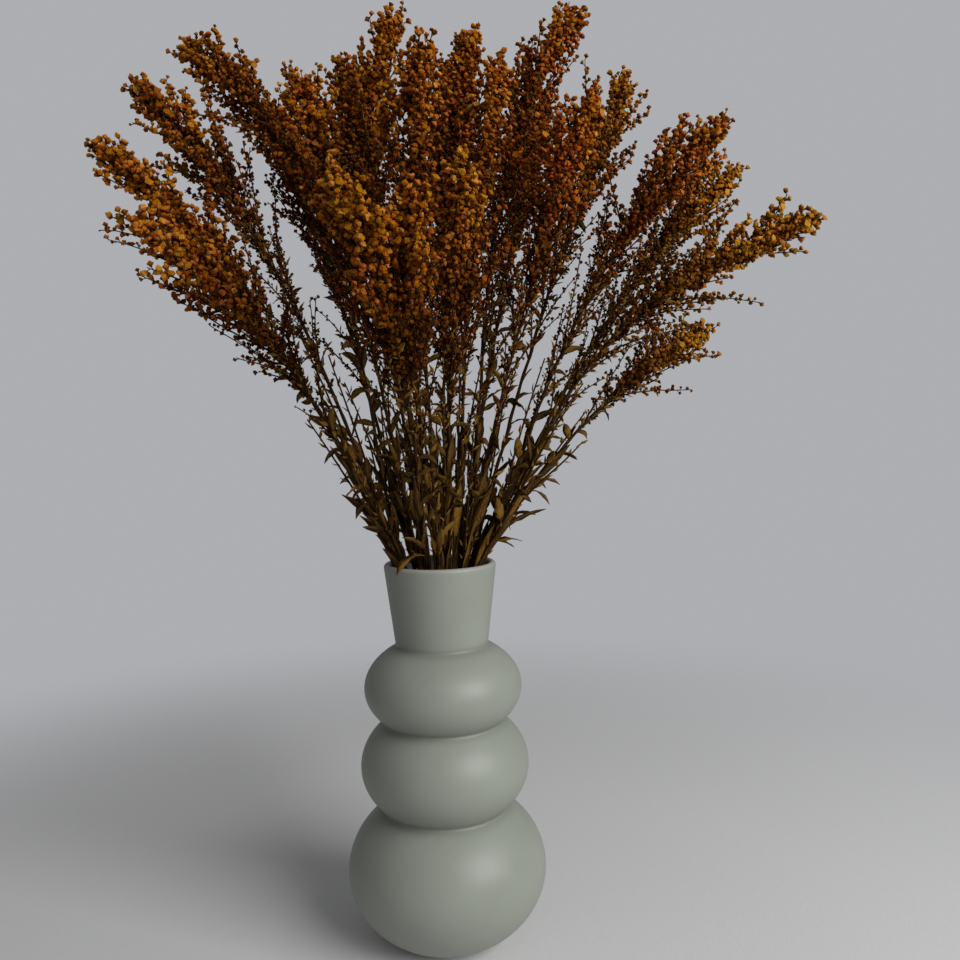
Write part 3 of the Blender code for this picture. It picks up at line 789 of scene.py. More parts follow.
def clears_vase(points, radii):
    """Whether balls at these points stay inside the vase's wall or outside it."""
    low = points[:, 2] - radii < VASE_HEIGHT
    height = np.minimum(points[:, 2], VASE_HEIGHT - WALL / 2.0)
    off_axis = np.hypot(points[:, 0], points[:, 1])
    within = off_axis + radii < inner_radius(height)
    beyond = off_axis - radii > outer_radius(height)
    return bool(np.all(~low | within | beyond))


def bead_stations(start, end, count, radius, tip_share, waist):
    """Lengths and radii of a row of beads, smaller towards the end, with waists between."""
    step = (end - start) / count
    lengths = []
    radii = []
    for bead in range(count):
        lengths += [start + step * (bead + 0.5), start + step * (bead + 1.0)]
        size = radius * (1.0 - (1.0 - tip_share) * bead / max(count - 1, 1))
        radii += [size, size * waist]
    radii[-1] = 0.0
    return lengths, radii


def bent_lines(roots, headings, lengths, bends, steps):
    """Lines from roots along headings, each bent a little more at every step."""
    points = [roots]
    for _ in range(steps):
        headings = units(headings + bends / steps)
        points.append(points[-1] + headings * (lengths / steps)[:, None])
    return np.stack(points, axis=1)


def bent_line(root, heading, length, rise, steps):
    """One such line, which lifts or droops towards its end."""
    bend = np.array((0.0, 0.0, rise))
    return bent_lines(root[None], heading[None], np.array((length,)), bend, steps)[0]


def spray_shape(line, direction, length, rng):
    """Centre points and radii of a side branch closely set with florets."""
    bare = length * SPRAY_BARE_SHARE
    beads = int(np.clip(round((length - bare) / BEAD_LENGTH), 1, MAX_BEADS))
    lengths, radii = bead_stations(bare, length, beads, BEAD_RADIUS, BEAD_TIP_SHARE, BEAD_WAIST)
    centres = point_along(line, line_lengths(line), np.array([0.0, bare] + lengths))
    radii = np.array([SPRAY_ROOT_RADIUS, SPRAY_ROOT_RADIUS] + radii)
    side = radial(direction, rng.uniform(0.0, 2.0 * pi))
    for i in range(2, len(centres) - 1, 2):
        centres[i] += side * BEAD_STAGGER * radii[i] * (-1.0) ** (i // 2)
    return centres, radii


def plume_half_width(width, share, taper=PLUME_TAPER):
    """Half width of a plume, from its base (share 0) to its tip (share 1)."""
    base = np.interp(share, (0.0, PLUME_FULL_FROM), (PLUME_BASE_SHARE, 1.0))
    return width / 2.0 * base * (1.0 - share) ** taper


def grow_rachis(line, length, width):
    """The plume's middle branch: a short bare stalk, then a core of florets to its tip."""
    lengths = line_lengths(line)
    start = lengths[-1] - length + SEAT_GAP
    dense = lengths[-1] - length + RACHIS_BARE
    count = round((lengths[-1] - dense) / CORE_BEAD_LENGTH)
    core = CORE_SHARE * width
    at, radii = bead_stations(dense, lengths[-1], count, core, CORE_TIP_SHARE, CORE_WAIST)
    centres = point_along(line, lengths, np.array([start, dense] + at))
    return centres, np.array([STEM_TOP_RADIUS, STEM_TOP_RADIUS] + radii)


def spray_places(line, length, width, shares, taper=PLUME_TAPER):
    """Roots, directions and half widths of a plume at shares of its dense part."""
    lengths = line_lengths(line)
    at = lengths[-1] - length + SPRAY_START + (length - SPRAY_START - SPRAY_END) * shares
    roots = point_along(line, lengths, at)
    directions = units(point_along(line, lengths, at + LOOK_AHEAD) - roots)
    return roots, directions, plume_half_width(width, shares * (1.0 - SPRAY_END / length), taper)


def grow_sprays(name, line, length, width, space, rng):
    """The solid's side branches of a plume: each one's line and share of the plume."""
    count = round((length - SPRAY_START - SPRAY_END) / SPRAY_SPACING)
    shares = (np.arange(count) + 0.5) / count
    places = zip(*spray_places(line, length, width, shares))
    start_angle = rng.uniform(0.0, 2.0 * pi)
    sprays = []
    for number, (root, direction, half_width) in enumerate(places):
        opening = radians(between(shares[number], SPRAY_OPENING))
        reach = half_width / sin(opening)
        for attempt, shrink in enumerate(SPRAY_TRIES):
            angle = start_angle + GOLDEN_ANGLE * number + attempt * SPRAY_TURN * (-1.0) ** attempt
            heading = unit(opened(direction, opening, angle))
            branch = bent_line(root, heading, reach * shrink, SPRAY_LIFT, SPRAY_STEPS)
            centres, radii = spray_shape(branch, heading, reach * shrink, rng)
            if space.is_free(centres[1:], radii[1:], "plume_" + name):
                space.add(centres, radii, "plume_" + name)
                sprays.append((branch, shares[number]))
                break
    return sprays


def leaf_fits(curve, half_width, owner, space):
    """Whether a leaf on this rib is free, and if so, its place is taken."""
    length = line_lengths(curve)[-1]
    line = point_along(curve, line_lengths(curve), length * np.array(LEAF_SHARES))
    lengths = line_lengths(line)
    at = np.linspace(LEAF_FREE_FROM, 1.0, LEAF_TESTS) * lengths[-1]
    balls = point_along(line, lengths, at)
    sizes = half_width * np.interp(at, lengths, LEAF_WIDTHS)
    if not space.is_free(balls, sizes, owner):
        return False
    space.add(balls, sizes, owner)
    return True


def grow_leaves(name, line, plume_length, space, rng):
    """The solid's leaves along a stem: each one's rib, half width and roll."""
    owner = "stem_" + name
    lengths = line_lengths(line)
    leaves = []
    for stalk, height, heading, rise, length, droop in RIM_LEAVES:
        if stalk == name:
            at = float(np.interp(height, line[:, 2], lengths))
            root = point_along(line, lengths, np.array((at,)))[0]
            towards = np.array((cos(radians(heading)), sin(radians(heading)), rise))
            curve = bent_line(root, unit(towards), length, -droop, LEAF_STEPS)
            if leaf_fits(curve, RIM_LEAF_HALF_WIDTH, owner, space):
                leaves.append((curve, RIM_LEAF_HALF_WIDTH, 0.0))
    lowest = float(np.interp(VASE_HEIGHT + LEAFLESS[0], line[:, 2], lengths))
    highest = lengths[-1] - plume_length - LEAFLESS[1]
    count = max(FEWEST_LEAVES, round((highest - lowest) / LEAF_SPACING))
    start_angle = rng.uniform(0.0, 2.0 * pi)
    for number in range(count):
        share = (number + rng.uniform(0.0, LEAF_SCATTER)) / count
        at = lowest + (highest - lowest) * share
        root, ahead = point_along(line, lengths, np.array((at, at + LOOK_AHEAD)))
        direction = unit(ahead - root)
        big = 1.0 - LEAF_NARROWING * share * rng.uniform(*LEAF_NARROWING_SPREAD)
        length = between(big, LEAF_LENGTH)
        half_width = between(big, LEAF_HALF_WIDTH)
        opening = radians(rng.uniform(*LEAF_OPENING))
        droop = LEAF_DROOP * rng.uniform(*LEAF_DROOP_SPREAD)
        roll = radians(rng.uniform(-LEAF_ROLL, LEAF_ROLL))
        for attempt in range(LEAF_TRIES):
            shrink = 1.0 - LEAF_SHORTENING * attempt
            angle = start_angle + GOLDEN_ANGLE * number + attempt * LEAF_TURN * (-1.0) ** attempt
            heading = opened(direction, opening, angle)
            curve = bent_line(root, heading, length * shrink, -droop, LEAF_STEPS)
            if leaf_fits(curve, half_width * shrink, owner, space):
                leaves.append((curve, half_width * shrink, roll))
                break
    return leaves


@cache
def bouquet():
    """Every stalk with its line, main side branches and larger leaves."""
    space = Space()
    stalks = []
    for (name, _, plume_length, width, _, _, tone), line in zip(STALKS, settled_lines()):
        lengths = line_lengths(line)
        top = lengths[-1] - plume_length
        until = np.append(lengths[lengths < top - SHORTEST_STEP], top)
        stem = thinned(point_along(line, lengths, until), LINE_TOLERANCE)
        radii = np.interp(line_lengths(stem), (0.0, top), (STEM_FOOT_RADIUS, STEM_TOP_RADIUS))
        space.add(stem, radii, "stem_" + name)
        rachis, rachis_radii = grow_rachis(line, plume_length, width)
        space.add(rachis, rachis_radii, "plume_" + name)
        stalk = SimpleNamespace(name=name, line=line, lengths=lengths, top=top, tone=tone)
        stalk.length = plume_length
        stalk.width = width
        stalks.append(stalk)
    rng = np.random.default_rng(PLUME_SEED)
    for stalk in stalks:
        stalk.sprays = grow_sprays(stalk.name, stalk.line, stalk.length, stalk.width, space, rng)
    rng = np.random.default_rng(LEAF_SEED)
    for stalk in stalks:
        stalk.leaves = grow_leaves(stalk.name, stalk.line, stalk.length, space, rng)
    return stalks


# Lines and places of the fine detail


def length_at(stalk, height):
    """Length along a stalk where it passes a height."""
    return float(np.interp(height, stalk.line[:, 2], stalk.lengths))


def on_stalk(stalk, at):
    """Points and directions at lengths along a stalk."""
    behind = point_along(stalk.line, stalk.lengths, at - LOOK_AHEAD)
    ahead = point_along(stalk.line, stalk.lengths, at + LOOK_AHEAD)
    return (behind + ahead) / 2.0, units(ahead - behind)


def spots_on(lines, rows, shares):
    """Points and directions at shares of the lines in the given rows."""
    last = lines.shape[1] - 1
    at = np.clip(shares, 0.0, 1.0) * last
    low = np.minimum(at.astype(int), last - 1)
    start = lines[rows, low]
    step = lines[rows, low + 1] - start
    return start + step * (at - low)[:, None], units(step)


def spread_along(lines, spacing, start, rng):
    """Spots set a little unevenly along lines: each one's line, number and share of it."""
    spans = np.linalg.norm(np.diff(lines, axis=1), axis=2).sum(axis=1) * (1.0 - start)
    counts = np.maximum(1, np.round(spans / spacing).astype(int))
    rows = np.repeat(np.arange(len(lines)), counts)
    number = np.arange(len(rows)) - np.repeat(np.cumsum(counts) - counts, counts)
    shares = (number + rng.uniform(*SPOT_SCATTER, len(rows))) / counts[rows]
    return rows, number, start + (1.0 - start) * shares


def leaning(directions, openings, angles, lift=0.0):
    """Headings that open from directions, at angles round them, and lift a little."""
    outward = turned(*across_all(directions), angles[..., None])
    return units(turned(directions, outward, openings[..., None]) + (0.0, 0.0, lift))


def fitted(lines, margin):
    """The lines, shortened towards their roots to stay inside the solids' box."""
    roots = lines[:, :1]
    away = lines - roots
    room = np.where(away > 0.0, BOX_HIGH - margin - roots, roots - BOX_LOW - margin)
    scale = np.clip(np.min(room / np.maximum(np.abs(away), 1e-9), axis=(1, 2)), 0.0, 1.0)
    return roots + away * scale[:, None, None]


def inside_box(places, reach):
    """Which places, with a reach round them, lie inside the solids' box."""
    reach = np.asarray(reach)[:, None] + BOX_MARGIN
    return np.all((places - reach > BOX_LOW) & (places + reach < BOX_HIGH), axis=1)


# Mesh parts


class Gathered:
    """Mesh parts gathered into one piece, with the marks its materials read."""

    def __init__(self):
        self.points = []
        self.faces = []
        self.slots = []
        self.smooth = []
        self.marks = {name: [] for name in MARKS}
        self.count = 0

    def add(self, points, faces, slot=0, smooth=True, **marks):
        """Add points and triangles that wear one material slot."""
        points = np.asarray(points, dtype=float).reshape(-1, 3)
        faces = np.asarray(faces).reshape(-1, 3)
        self.points.append(points)
        self.faces.append(faces + self.count)
        self.slots.append(np.full(len(faces), slot))
        self.smooth.append(np.full(len(faces), smooth))
        for name, values in self.marks.items():
            given = np.asarray(marks.get(name, 0.0), dtype=float)
            values.append(np.broadcast_to(given.ravel(), (len(points),)))
        self.count += len(points)

    def piece(self, name, materials):
        """One object of everything added."""
        mesh = bpy.data.meshes.new(name)
        faces = np.concatenate(self.faces)
        mesh.from_pydata(np.concatenate(self.points).tolist(), [], faces.tolist())
        for one in materials:
            mesh.materials.append(one)
        mesh.polygons.foreach_set("material_index", np.concatenate(self.slots))
        mesh.polygons.foreach_set("use_smooth", np.concatenate(self.smooth))
        for mark, values in self.marks.items():
            values = np.concatenate(values).astype(np.float32)
            if values.any():
                mesh.attributes.new(mark, "FLOAT", "POINT").data.foreach_set("value", values)
        mesh.update()
        made = bpy.data.objects.new(name, mesh)
        bpy.context.scene.collection.objects.link(made)
        return made


def tube_faces(rings, sides):
    """Triangles of a closed tube of this many rings, facing out."""
    faces = []
    for ring in range(rings - 1):
        for side in range(sides):
            a = ring * sides + side
            b = ring * sides + (side + 1) % sides
            faces += [(a, b, b + sides), (a, b + sides, a + sides)]
    last = (rings - 1) * sides
    for side in range(1, sides - 1):
        faces += [(0, side + 1, side), (last, last + side, last + side + 1)]
    return np.array(faces)


def add_tubes(piece, lines, radii, sides, along=1.0):
    """Add closed tubes of bark: lines is (tubes, points, 3), radii (tubes, points)."""
    tubes, points = lines.shape[:2]
    directions = units(np.gradient(lines, axis=1))
    helper = across_all(units(directions.mean(axis=1)))[0]
    second = units(np.cross(directions, helper[:, None]))
    first = np.cross(second, directions)
    angles = angles_round(sides)[:, None]
    ring = turned(first[:, :, None], second[:, :, None], angles)
    shell = lines[:, :, None] + np.broadcast_to(radii, (tubes, points))[..., None, None] * ring
    offsets = np.arange(tubes)[:, None, None] * points * sides
    shades = np.repeat(np.broadcast_to(along, (tubes, points)).ravel(), sides)
    piece.add(shell, tube_faces(points, sides)[None] + offsets, BARK_SLOT, along=shades)


def add_rods(piece, lines, radii, sides):
    """Add thin tubes that taper from a first radius to a last one."""
    add_tubes(piece, lines, np.linspace(*radii, lines.shape[1])[None], sides)


def add_copies(piece, shape, places, axes, sizes, slot, rng, ripeness=1.0, **marks):
    """Add a small shape at each place, along each axis, sized and turned at random."""
    points, faces, ripe = shape
    turns = rng.uniform(0.0, 2.0 * pi, (len(places), 1))
    sideways = turned(*across_all(axes), turns)
    basis = np.stack((sideways, np.cross(axes, sideways), axes), axis=1) * sizes[:, None, None]
    placed = places[:, None] + np.einsum("vi,nij->nvj", points, basis)
    offsets = np.arange(len(places))[:, None, None] * len(points)
    spread = {name: np.repeat(value, len(points)) for name, value in marks.items()}
    # Each head's husk-to-tip mark, darkened by painted shade where the head is bare
    spread["ripeness"] = np.broadcast_to(ripeness, len(places))[:, None] * ripe
    piece.add(placed, faces[None] + offsets, slot, smooth=False, **spread)


@cache
def head_shapes():
    """Several uneven flower heads, each a narrow husk with an open or a closed tuft."""
    rng = np.random.default_rng(DETAIL_SEED)
    shapes = []
    for kind in range(HEAD_KINDS):
        tuft, reach, middle = CLOSED_TUFT if kind % 2 else OPEN_TUFT
        points = [(0.0, 0.0, 0.0)]
        for ring, (height, radius) in enumerate((HEAD_WAIST, (tuft, reach))):
            for side in range(HEAD_SIDES):
                angle = 2.0 * pi * (side + 0.5 * ring) / HEAD_SIDES
                uneven = 1.0 + rng.uniform(-HEAD_UNEVENNESS, HEAD_UNEVENNESS, 2)
                spoke = radius * uneven[0]
                points.append((spoke * cos(angle), spoke * sin(angle), height * uneven[1]))
        points.append((0.0, 0.0, middle))
        faces = []
        for side in range(HEAD_SIDES):
            after = (side + 1) % HEAD_SIDES
            low, low_after = 1 + side, 1 + after
            high, high_after = low + HEAD_SIDES, low_after + HEAD_SIDES
            faces += [(0, low_after, low), (low, low_after, high)]
            faces += [(low_after, high_after, high), (high, high_after, len(points) - 1)]
        ripe = [0.0] + [WAIST_RIPENESS] * HEAD_SIDES + [1.0] * (HEAD_SIDES + 1)
        shapes.append((np.array(points), np.array(faces), np.array(ripe)))
    return shapes


@cache
def bud_shapes():
    """Small closed flower heads, each two low pyramids base to base."""
    rng = np.random.default_rng(DETAIL_SEED)
    shapes = []
    for _ in range(HEAD_KINDS):
        angles = angles_round(HEAD_SIDES)
        spokes = BUD_RADIUS * (1.0 + rng.uniform(-HEAD_UNEVENNESS, HEAD_UNEVENNESS, HEAD_SIDES))
        heights = rng.uniform(*BUD_BELLY, HEAD_SIDES)
        ring = np.column_stack((spokes * np.cos(angles), spokes * np.sin(angles), heights))
        points = np.vstack(((0.0, 0.0, 0.0), ring, (0.0, 0.0, 1.0)))
        faces = []
        for side in range(1, HEAD_SIDES + 1):
            after = side % HEAD_SIDES + 1
            faces += [(0, after, side), (side, after, HEAD_SIDES + 1)]
        ripe = [0.0] + [BUD_RIPENESS] * HEAD_SIDES + [1.0]
        shapes.append((points, np.array(faces), np.array(ripe)))
    return shapes


@cache
def bract_shape():
    """A small narrow leaf, one unit long, folded along its rib and curled at its tip."""
    half = BRACT_HALF_WIDTH
    points = np.array((
        (0.0, 0.0, 0.0), (-half, -0.05, 0.42), (0.0, 0.045, 0.46),
        (half, -0.05, 0.42), (0.0, -0.005, 0.46), (0.0, -0.16, 1.0),
    ))
    faces = ((0, 2, 1), (0, 3, 2), (0, 4, 3), (0, 1, 4), (5, 1, 2), (5, 2, 3), (5, 3, 4), (5, 4, 1))
    return points, np.array(faces), np.array((0.0, 0.4, 0.5, 0.4, 0.5, 1.0))


def add_heads(piece, shapes, places, axes, widths, slot, rng, ripeness, tint, shade):
    """Add a flower head at each place inside the box, of one of several kinds."""
    kept = inside_box(places + axes * widths[:, None] * HEAD_MIDDLE, widths * HEAD_REACH)
    kinds = np.where(kept, rng.integers(len(shapes), size=len(places)), len(shapes))
    chance = np.clip(shade + rng.normal(0.0, CHANCE_SPREAD, len(places)), 0.0, 1.0)
    for kind, shape in enumerate(shapes):
        some = kinds == kind
        add_copies(
            piece, shape, places[some], axes[some], widths[some], slot, rng,
            ripeness=ripeness[some], chance=chance[some], tint=tint[some],
        )


def add_blade(piece, curve, half_width, roll, twist, chance, rng):
    """Add one dry leaf with a fold, a twist and a rippled edge on its rib's curve."""
    share = np.linspace(0.0, 1.0, BLADE_POINTS)
    lengths = line_lengths(curve)
    ribs = point_along(curve, lengths, share * lengths[-1])
    directions = units(np.gradient(ribs, axis=0))
    flat = np.cross(directions, (0.0, 0.0, 1.0))
    upright = np.linalg.norm(flat, axis=1, keepdims=True) < UPRIGHT
    flat = units(np.where(upright, across_all(directions)[0], flat))
    up = np.cross(flat, directions)
    turn = (roll + rng.uniform(-twist, twist) * share)[:, None]
    side, up = turned(flat, up, turn), turned(up, -flat, turn)
    outline = np.sin(pi * share ** BLADE_OUTLINE[0]) ** BLADE_OUTLINE[1]
    width = half_width * np.maximum(BLADE_STALK * (1.0 - share), outline)
    width[-1] = half_width * BLADE_TIP
    width = width[:, None]
    fold = rng.uniform(*BLADE_FOLD) * (1.0 - FLATTER * chance)
    wave = np.sin(share * rng.uniform(*RIPPLE_TURN) + rng.uniform(0.0, 2.0 * pi))
    ripple = (BLADE_RIPPLE * wave)[:, None]
    rise = width * (fold * np.abs(BLADE_SPOTS) + ripple * BLADE_SPOTS)
    rise = rise - BLADE_UNDER * BLADE_THICKNESS
    rings = ribs[:, None] + side[:, None] * (width * BLADE_SPOTS)[..., None]
    rings = rings + up[:, None] * rise[..., None]
    if inside_box(rings.reshape(-1, 3), np.zeros(rings.size // 3)).all():
        faces = tube_faces(BLADE_POINTS, len(BLADE_SPOTS))
        along = np.repeat(share, len(BLADE_SPOTS))
        across = np.tile(BLADE_SPOTS, BLADE_POINTS)
        piece.add(rings, faces, LEAF_SLOT, along=along, across=across, chance=chance)


def add_branchlets(piece, lines, full, girth, spacing, rng):
    """Add branchlets along racemes, and give each one's place, size, fullness and shade; fullness
    also darkens heads near a raceme's root as painted shade.
    """
    rows, number, spots = spread_along(lines, spacing, BRANCHLETS_FROM, rng)
    roots, directions = spots_on(lines, rows, spots)
    count = len(rows)
    turns = GOLDEN_ANGLE * number + rng.uniform(0.0, 2.0 * pi, len(lines))[rows]
    openings = np.radians(rng.uniform(*BRANCHLET_OPENING, count))
    headings = leaning(directions, openings, turns, BRANCHLET_LIFT)
    sizes = between(spots, BRANCHLET_LENGTH) * rng.uniform(*BRANCHLET_SPREAD, count) * girth[rows]
    twigs = np.stack((roots, roots + headings * sizes[:, None]), axis=1)
    kept = inside_box(twigs[:, 1], np.full(count, BRANCHLET_RADII[0]))
    add_rods(piece, twigs[kept], BRANCHLET_RADII, BRANCHLET_SIDES)
    return SimpleNamespace(
        roots=roots,
        headings=headings,
        sizes=sizes,
        girth=girth[rows],
        # Heads near a raceme's root are barer and darker, painted shade
        full=full[rows] * np.interp(spots, (0.0, FULL_SPOT), (BARE_SHADED_SPOT, 1.0)),
        tint=rng.uniform(0.0, 1.0, len(lines))[rows],
        shade=rng.normal(0.5, SHADE_SPREAD, count),
    )


def dress_racemes(piece, shapes, lines, full, girth, spacing, plumes, slot, rng):
    """Set racemes with branchlets, and those with flower heads.

    Each raceme has its fullness, which says how dense it is and how dark its heads are with painted
    shade, and its girth.
    """
    twigs = add_branchlets(piece, lines, full, girth, spacing, rng)
    rows = np.repeat(np.arange(len(twigs.sizes)), MOST_HEADS)
    number = np.tile(np.arange(MOST_HEADS), len(twigs.sizes))
    shares = 1.0 - number * plumes.head_spacing / twigs.sizes[rows]
    likely = np.interp(twigs.full[rows], (0.0, SURE_FROM), (POOR_CHANCE, 1.0))
    kept = (shares > LOWEST_HEAD) & (rng.uniform(0.0, 1.0, len(rows)) < likely)
    rows, number, shares = rows[kept], number[kept], shares[kept]
    count = len(rows)
    headings = twigs.headings[rows]
    full = twigs.full[rows]
    first = rng.uniform(*FIRST_HEAD_OPENING, count)
    openings = np.radians(np.where(number == 0, first, rng.uniform(*HEAD_OPENING, count)))
    axes = leaning(headings, openings, rng.uniform(0.0, 2.0 * pi, count), HEAD_LIFT)
    widths = plumes.head_width * rng.uniform(*HEAD_SPREAD, count) * between(full, (POOR_HEAD, 1.0))
    widths = widths * np.sqrt(twigs.girth[rows])
    places = twigs.roots[rows] + headings * (twigs.sizes[rows] * shares)[:, None]
    places = places - axes * (HEAD_SINK * widths)[:, None]
    # Barer heads are darker: painted shade, times each head's husk-to-tip colour
    looks = (between(full, (RAW_SHADED_RIPENESS, 1.0)), twigs.tint[rows], twigs.shade[rows])
    add_heads(piece, shapes, places, axes, widths, slot, rng, *looks)


# Materials


def add_node(tree, kind, inputs=None, **settings):
    """A node with its settings, and its inputs set or linked."""
    made = tree.nodes.new(kind)
    for name, value in settings.items():
        setattr(made, name, value)
    for name, value in (inputs or {}).items():
        if isinstance(value, bpy.types.NodeSocket):
            tree.links.new(value, made.inputs[name])
        else:
            made.inputs[name].default_value = value
    return made


def combined(tree, first, second, operation="ADD"):
    """Two sockets or numbers combined by a math operation."""
    return add_node(tree, "ShaderNodeMath", {0: first, 1: second}, operation=operation).outputs[0]


def ranged(tree, value, low, high, start=0.0, end=1.0):
    """A value from start to end, brought to the range from low to high."""
    inputs = {"Value": value, "From Min": start, "From Max": end, "To Min": low, "To Max": high}
    return add_node(tree, "ShaderNodeMapRange", inputs).outputs["Result"]


def mixed(tree, factor, first, second, blend="MIX"):
    """Two colours mixed by a factor."""
    inputs = {0: factor, 6: first, 7: second}
    return add_node(tree, "ShaderNodeMix", inputs, data_type="RGBA", blend_type=blend).outputs[2]


def noise(tree, place, size, **inputs):
    """A noise over a place, with features of a size."""
    scale = combined(tree, 1.0, size, "DIVIDE")
    inputs = {"Vector": place, "Scale": scale, **inputs}
    return add_node(tree, "ShaderNodeTexNoise", inputs).outputs["Fac"]


def mark(tree, name):
    """The socket that gives a mark of the mesh."""
    return add_node(tree, "ShaderNodeAttribute", attribute_name=name).outputs["Fac"]


def solid(colour, factor=1.0):
    """A colour with an alpha, brightened by a factor."""
    return tuple(min(1.0, part * factor) for part in colour) + (1.0,)


def new_group(name, inputs, outputs):
    """An empty shader node group with named number inputs and outputs."""
    group = bpy.data.node_groups.new(name, "ShaderNodeTree")
    for label, value in inputs:
        socket = group.interface.new_socket(label, in_out="INPUT", socket_type="NodeSocketFloat")
        socket.default_value = value
    for label in outputs:
        group.interface.new_socket(label, in_out="OUTPUT", socket_type="NodeSocketFloat")
    return group, add_node(group, "NodeGroupInput").outputs, add_node(group, "NodeGroupOutput")


@cache
def patches_group():
    """Soft uneven patches over a surface, and finer flecks within them."""
    group, given, out = new_group(
        "Uneven patches",
        (("Patch size", 0.02), ("Fleck size", 0.002), ("Softness", 0.5)),
        ("Patches", "Flecks"),
    )
    place = add_node(group, "ShaderNodeTexCoord").outputs["Object"]
    for label, size, detail in (("Patches", "Patch size", 3.0), ("Flecks", "Fleck size", 2.0)):
        uneven = noise(group, place, given[size], Detail=detail, Roughness=given["Softness"])
        group.links.new(ranged(group, uneven, 0.0, 1.0, 0.3, 0.7), out.inputs[label])
    return group


@cache
def relief_group():
    """Heights of a fine grainy relief, with coarser hollows under it."""
    group, given, out = new_group(
        "Fine relief",
        (("Grain size", 0.0005), ("Hollow size", 0.004), ("Hollows", 0.5)),
        ("Height",),
    )
    place = add_node(group, "ShaderNodeTexCoord").outputs["Object"]
    grain = noise(group, place, given["Grain size"], Detail=2.0)
    hollow = noise(group, place, given["Hollow size"], Detail=2.0)
    hollows = combined(group, hollow, given["Hollows"], "MULTIPLY")
    group.links.new(combined(group, grain, hollows), out.inputs["Height"])
    return group


@cache
def fibre_group():
    """Streaks that run up a stem."""
    group, given, out = new_group(
        "Plant fibres",
        (("Streak size", 0.0012), ("Stretch", 12.0)),
        ("Streaks",),
    )
    place = add_node(group, "ShaderNodeTexCoord").outputs["Object"]
    squeeze = combined(group, 1.0, given["Stretch"], "DIVIDE")
    shrink = add_node(group, "ShaderNodeCombineXYZ", {"X": 1.0, "Y": 1.0, "Z": squeeze}).outputs[0]
    inputs = {0: place, 1: shrink}
    stretched = add_node(group, "ShaderNodeVectorMath", inputs, operation="MULTIPLY").outputs[0]
    streaks = noise(group, stretched, given["Streak size"], Detail=2.0)
    group.links.new(ranged(group, streaks, 0.0, 1.0, 0.3, 0.7), out.inputs["Streaks"])
    return group


def place_group(tree, group, **values):
    """A group's node in a material, with its own values."""
    made = add_node(tree, "ShaderNodeGroup", node_tree=group)
    for name, value in values.items():
        made.inputs[name.replace("_", " ").capitalize()].default_value = value
    return made.outputs


def new_material(name, plain):
    """A Principled material: its tree and its shader, with plain values set on the shader."""
    made = bpy.data.materials.new(name)
    made.use_nodes = True
    shader = made.node_tree.nodes["Principled BSDF"]
    for label, value in plain.items():
        shader.inputs[label].default_value = value
    return made, made.node_tree, shader


def finish_shader(tree, shader, colour, roughness, height, depth):
    """Give a shader its colour, its roughness and its relief."""
    bump = add_node(tree, "ShaderNodeBump", {"Height": height, "Distance": depth}).outputs[0]
    for label, socket in (("Base Color", colour), ("Roughness", roughness), ("Normal", bump)):
        tree.links.new(socket, shader.inputs[label])


def glaze_material(settings):
    """Satin glaze: even sage, darker where it pools, thin over the clay of lip and foot."""
    made, tree, shader = new_material("satin_sage_glaze", {"Specular IOR Level": 0.34})
    patches = place_group(tree, patches_group(), patch_size=0.035, fleck_size=0.0009)
    glaze = settings.glaze_colour
    tone = mixed(tree, patches["Patches"], solid(glaze, 0.96), solid(glaze, 1.04))
    pale_flecks = ranged(tree, patches["Flecks"], 0.0, 0.35, 0.86, 1.0)
    tone = mixed(tree, pale_flecks, tone, solid(glaze, 1.25))
    tone = mixed(tree, mark(tree, "pooled"), tone, solid(settings.pooled_colour))
    worn = ranged(tree, patches["Patches"], 0.55, 0.9)
    thin = combined(tree, mark(tree, "thinned"), worn, "MULTIPLY")
    tone = mixed(tree, thin, tone, solid(settings.clay_colour, 0.9))
    dark_clay = solid(settings.clay_colour, 0.8)
    clay = mixed(tree, patches["Flecks"], dark_clay, solid(settings.clay_colour))
    tone = mixed(tree, mark(tree, "bare"), tone, clay)
    rough = combined(tree, ranged(tree, patches["Patches"], 0.38, 0.46), mark(tree, "bare"))
    rough = combined(tree, rough, 0.9, "MINIMUM")
    relief = place_group(tree, relief_group(), grain_size=0.0011, hollow_size=0.012, hollows=1.5)
    finish_shader(tree, shader, tone, rough, relief["Height"], settings.relief)
    return made


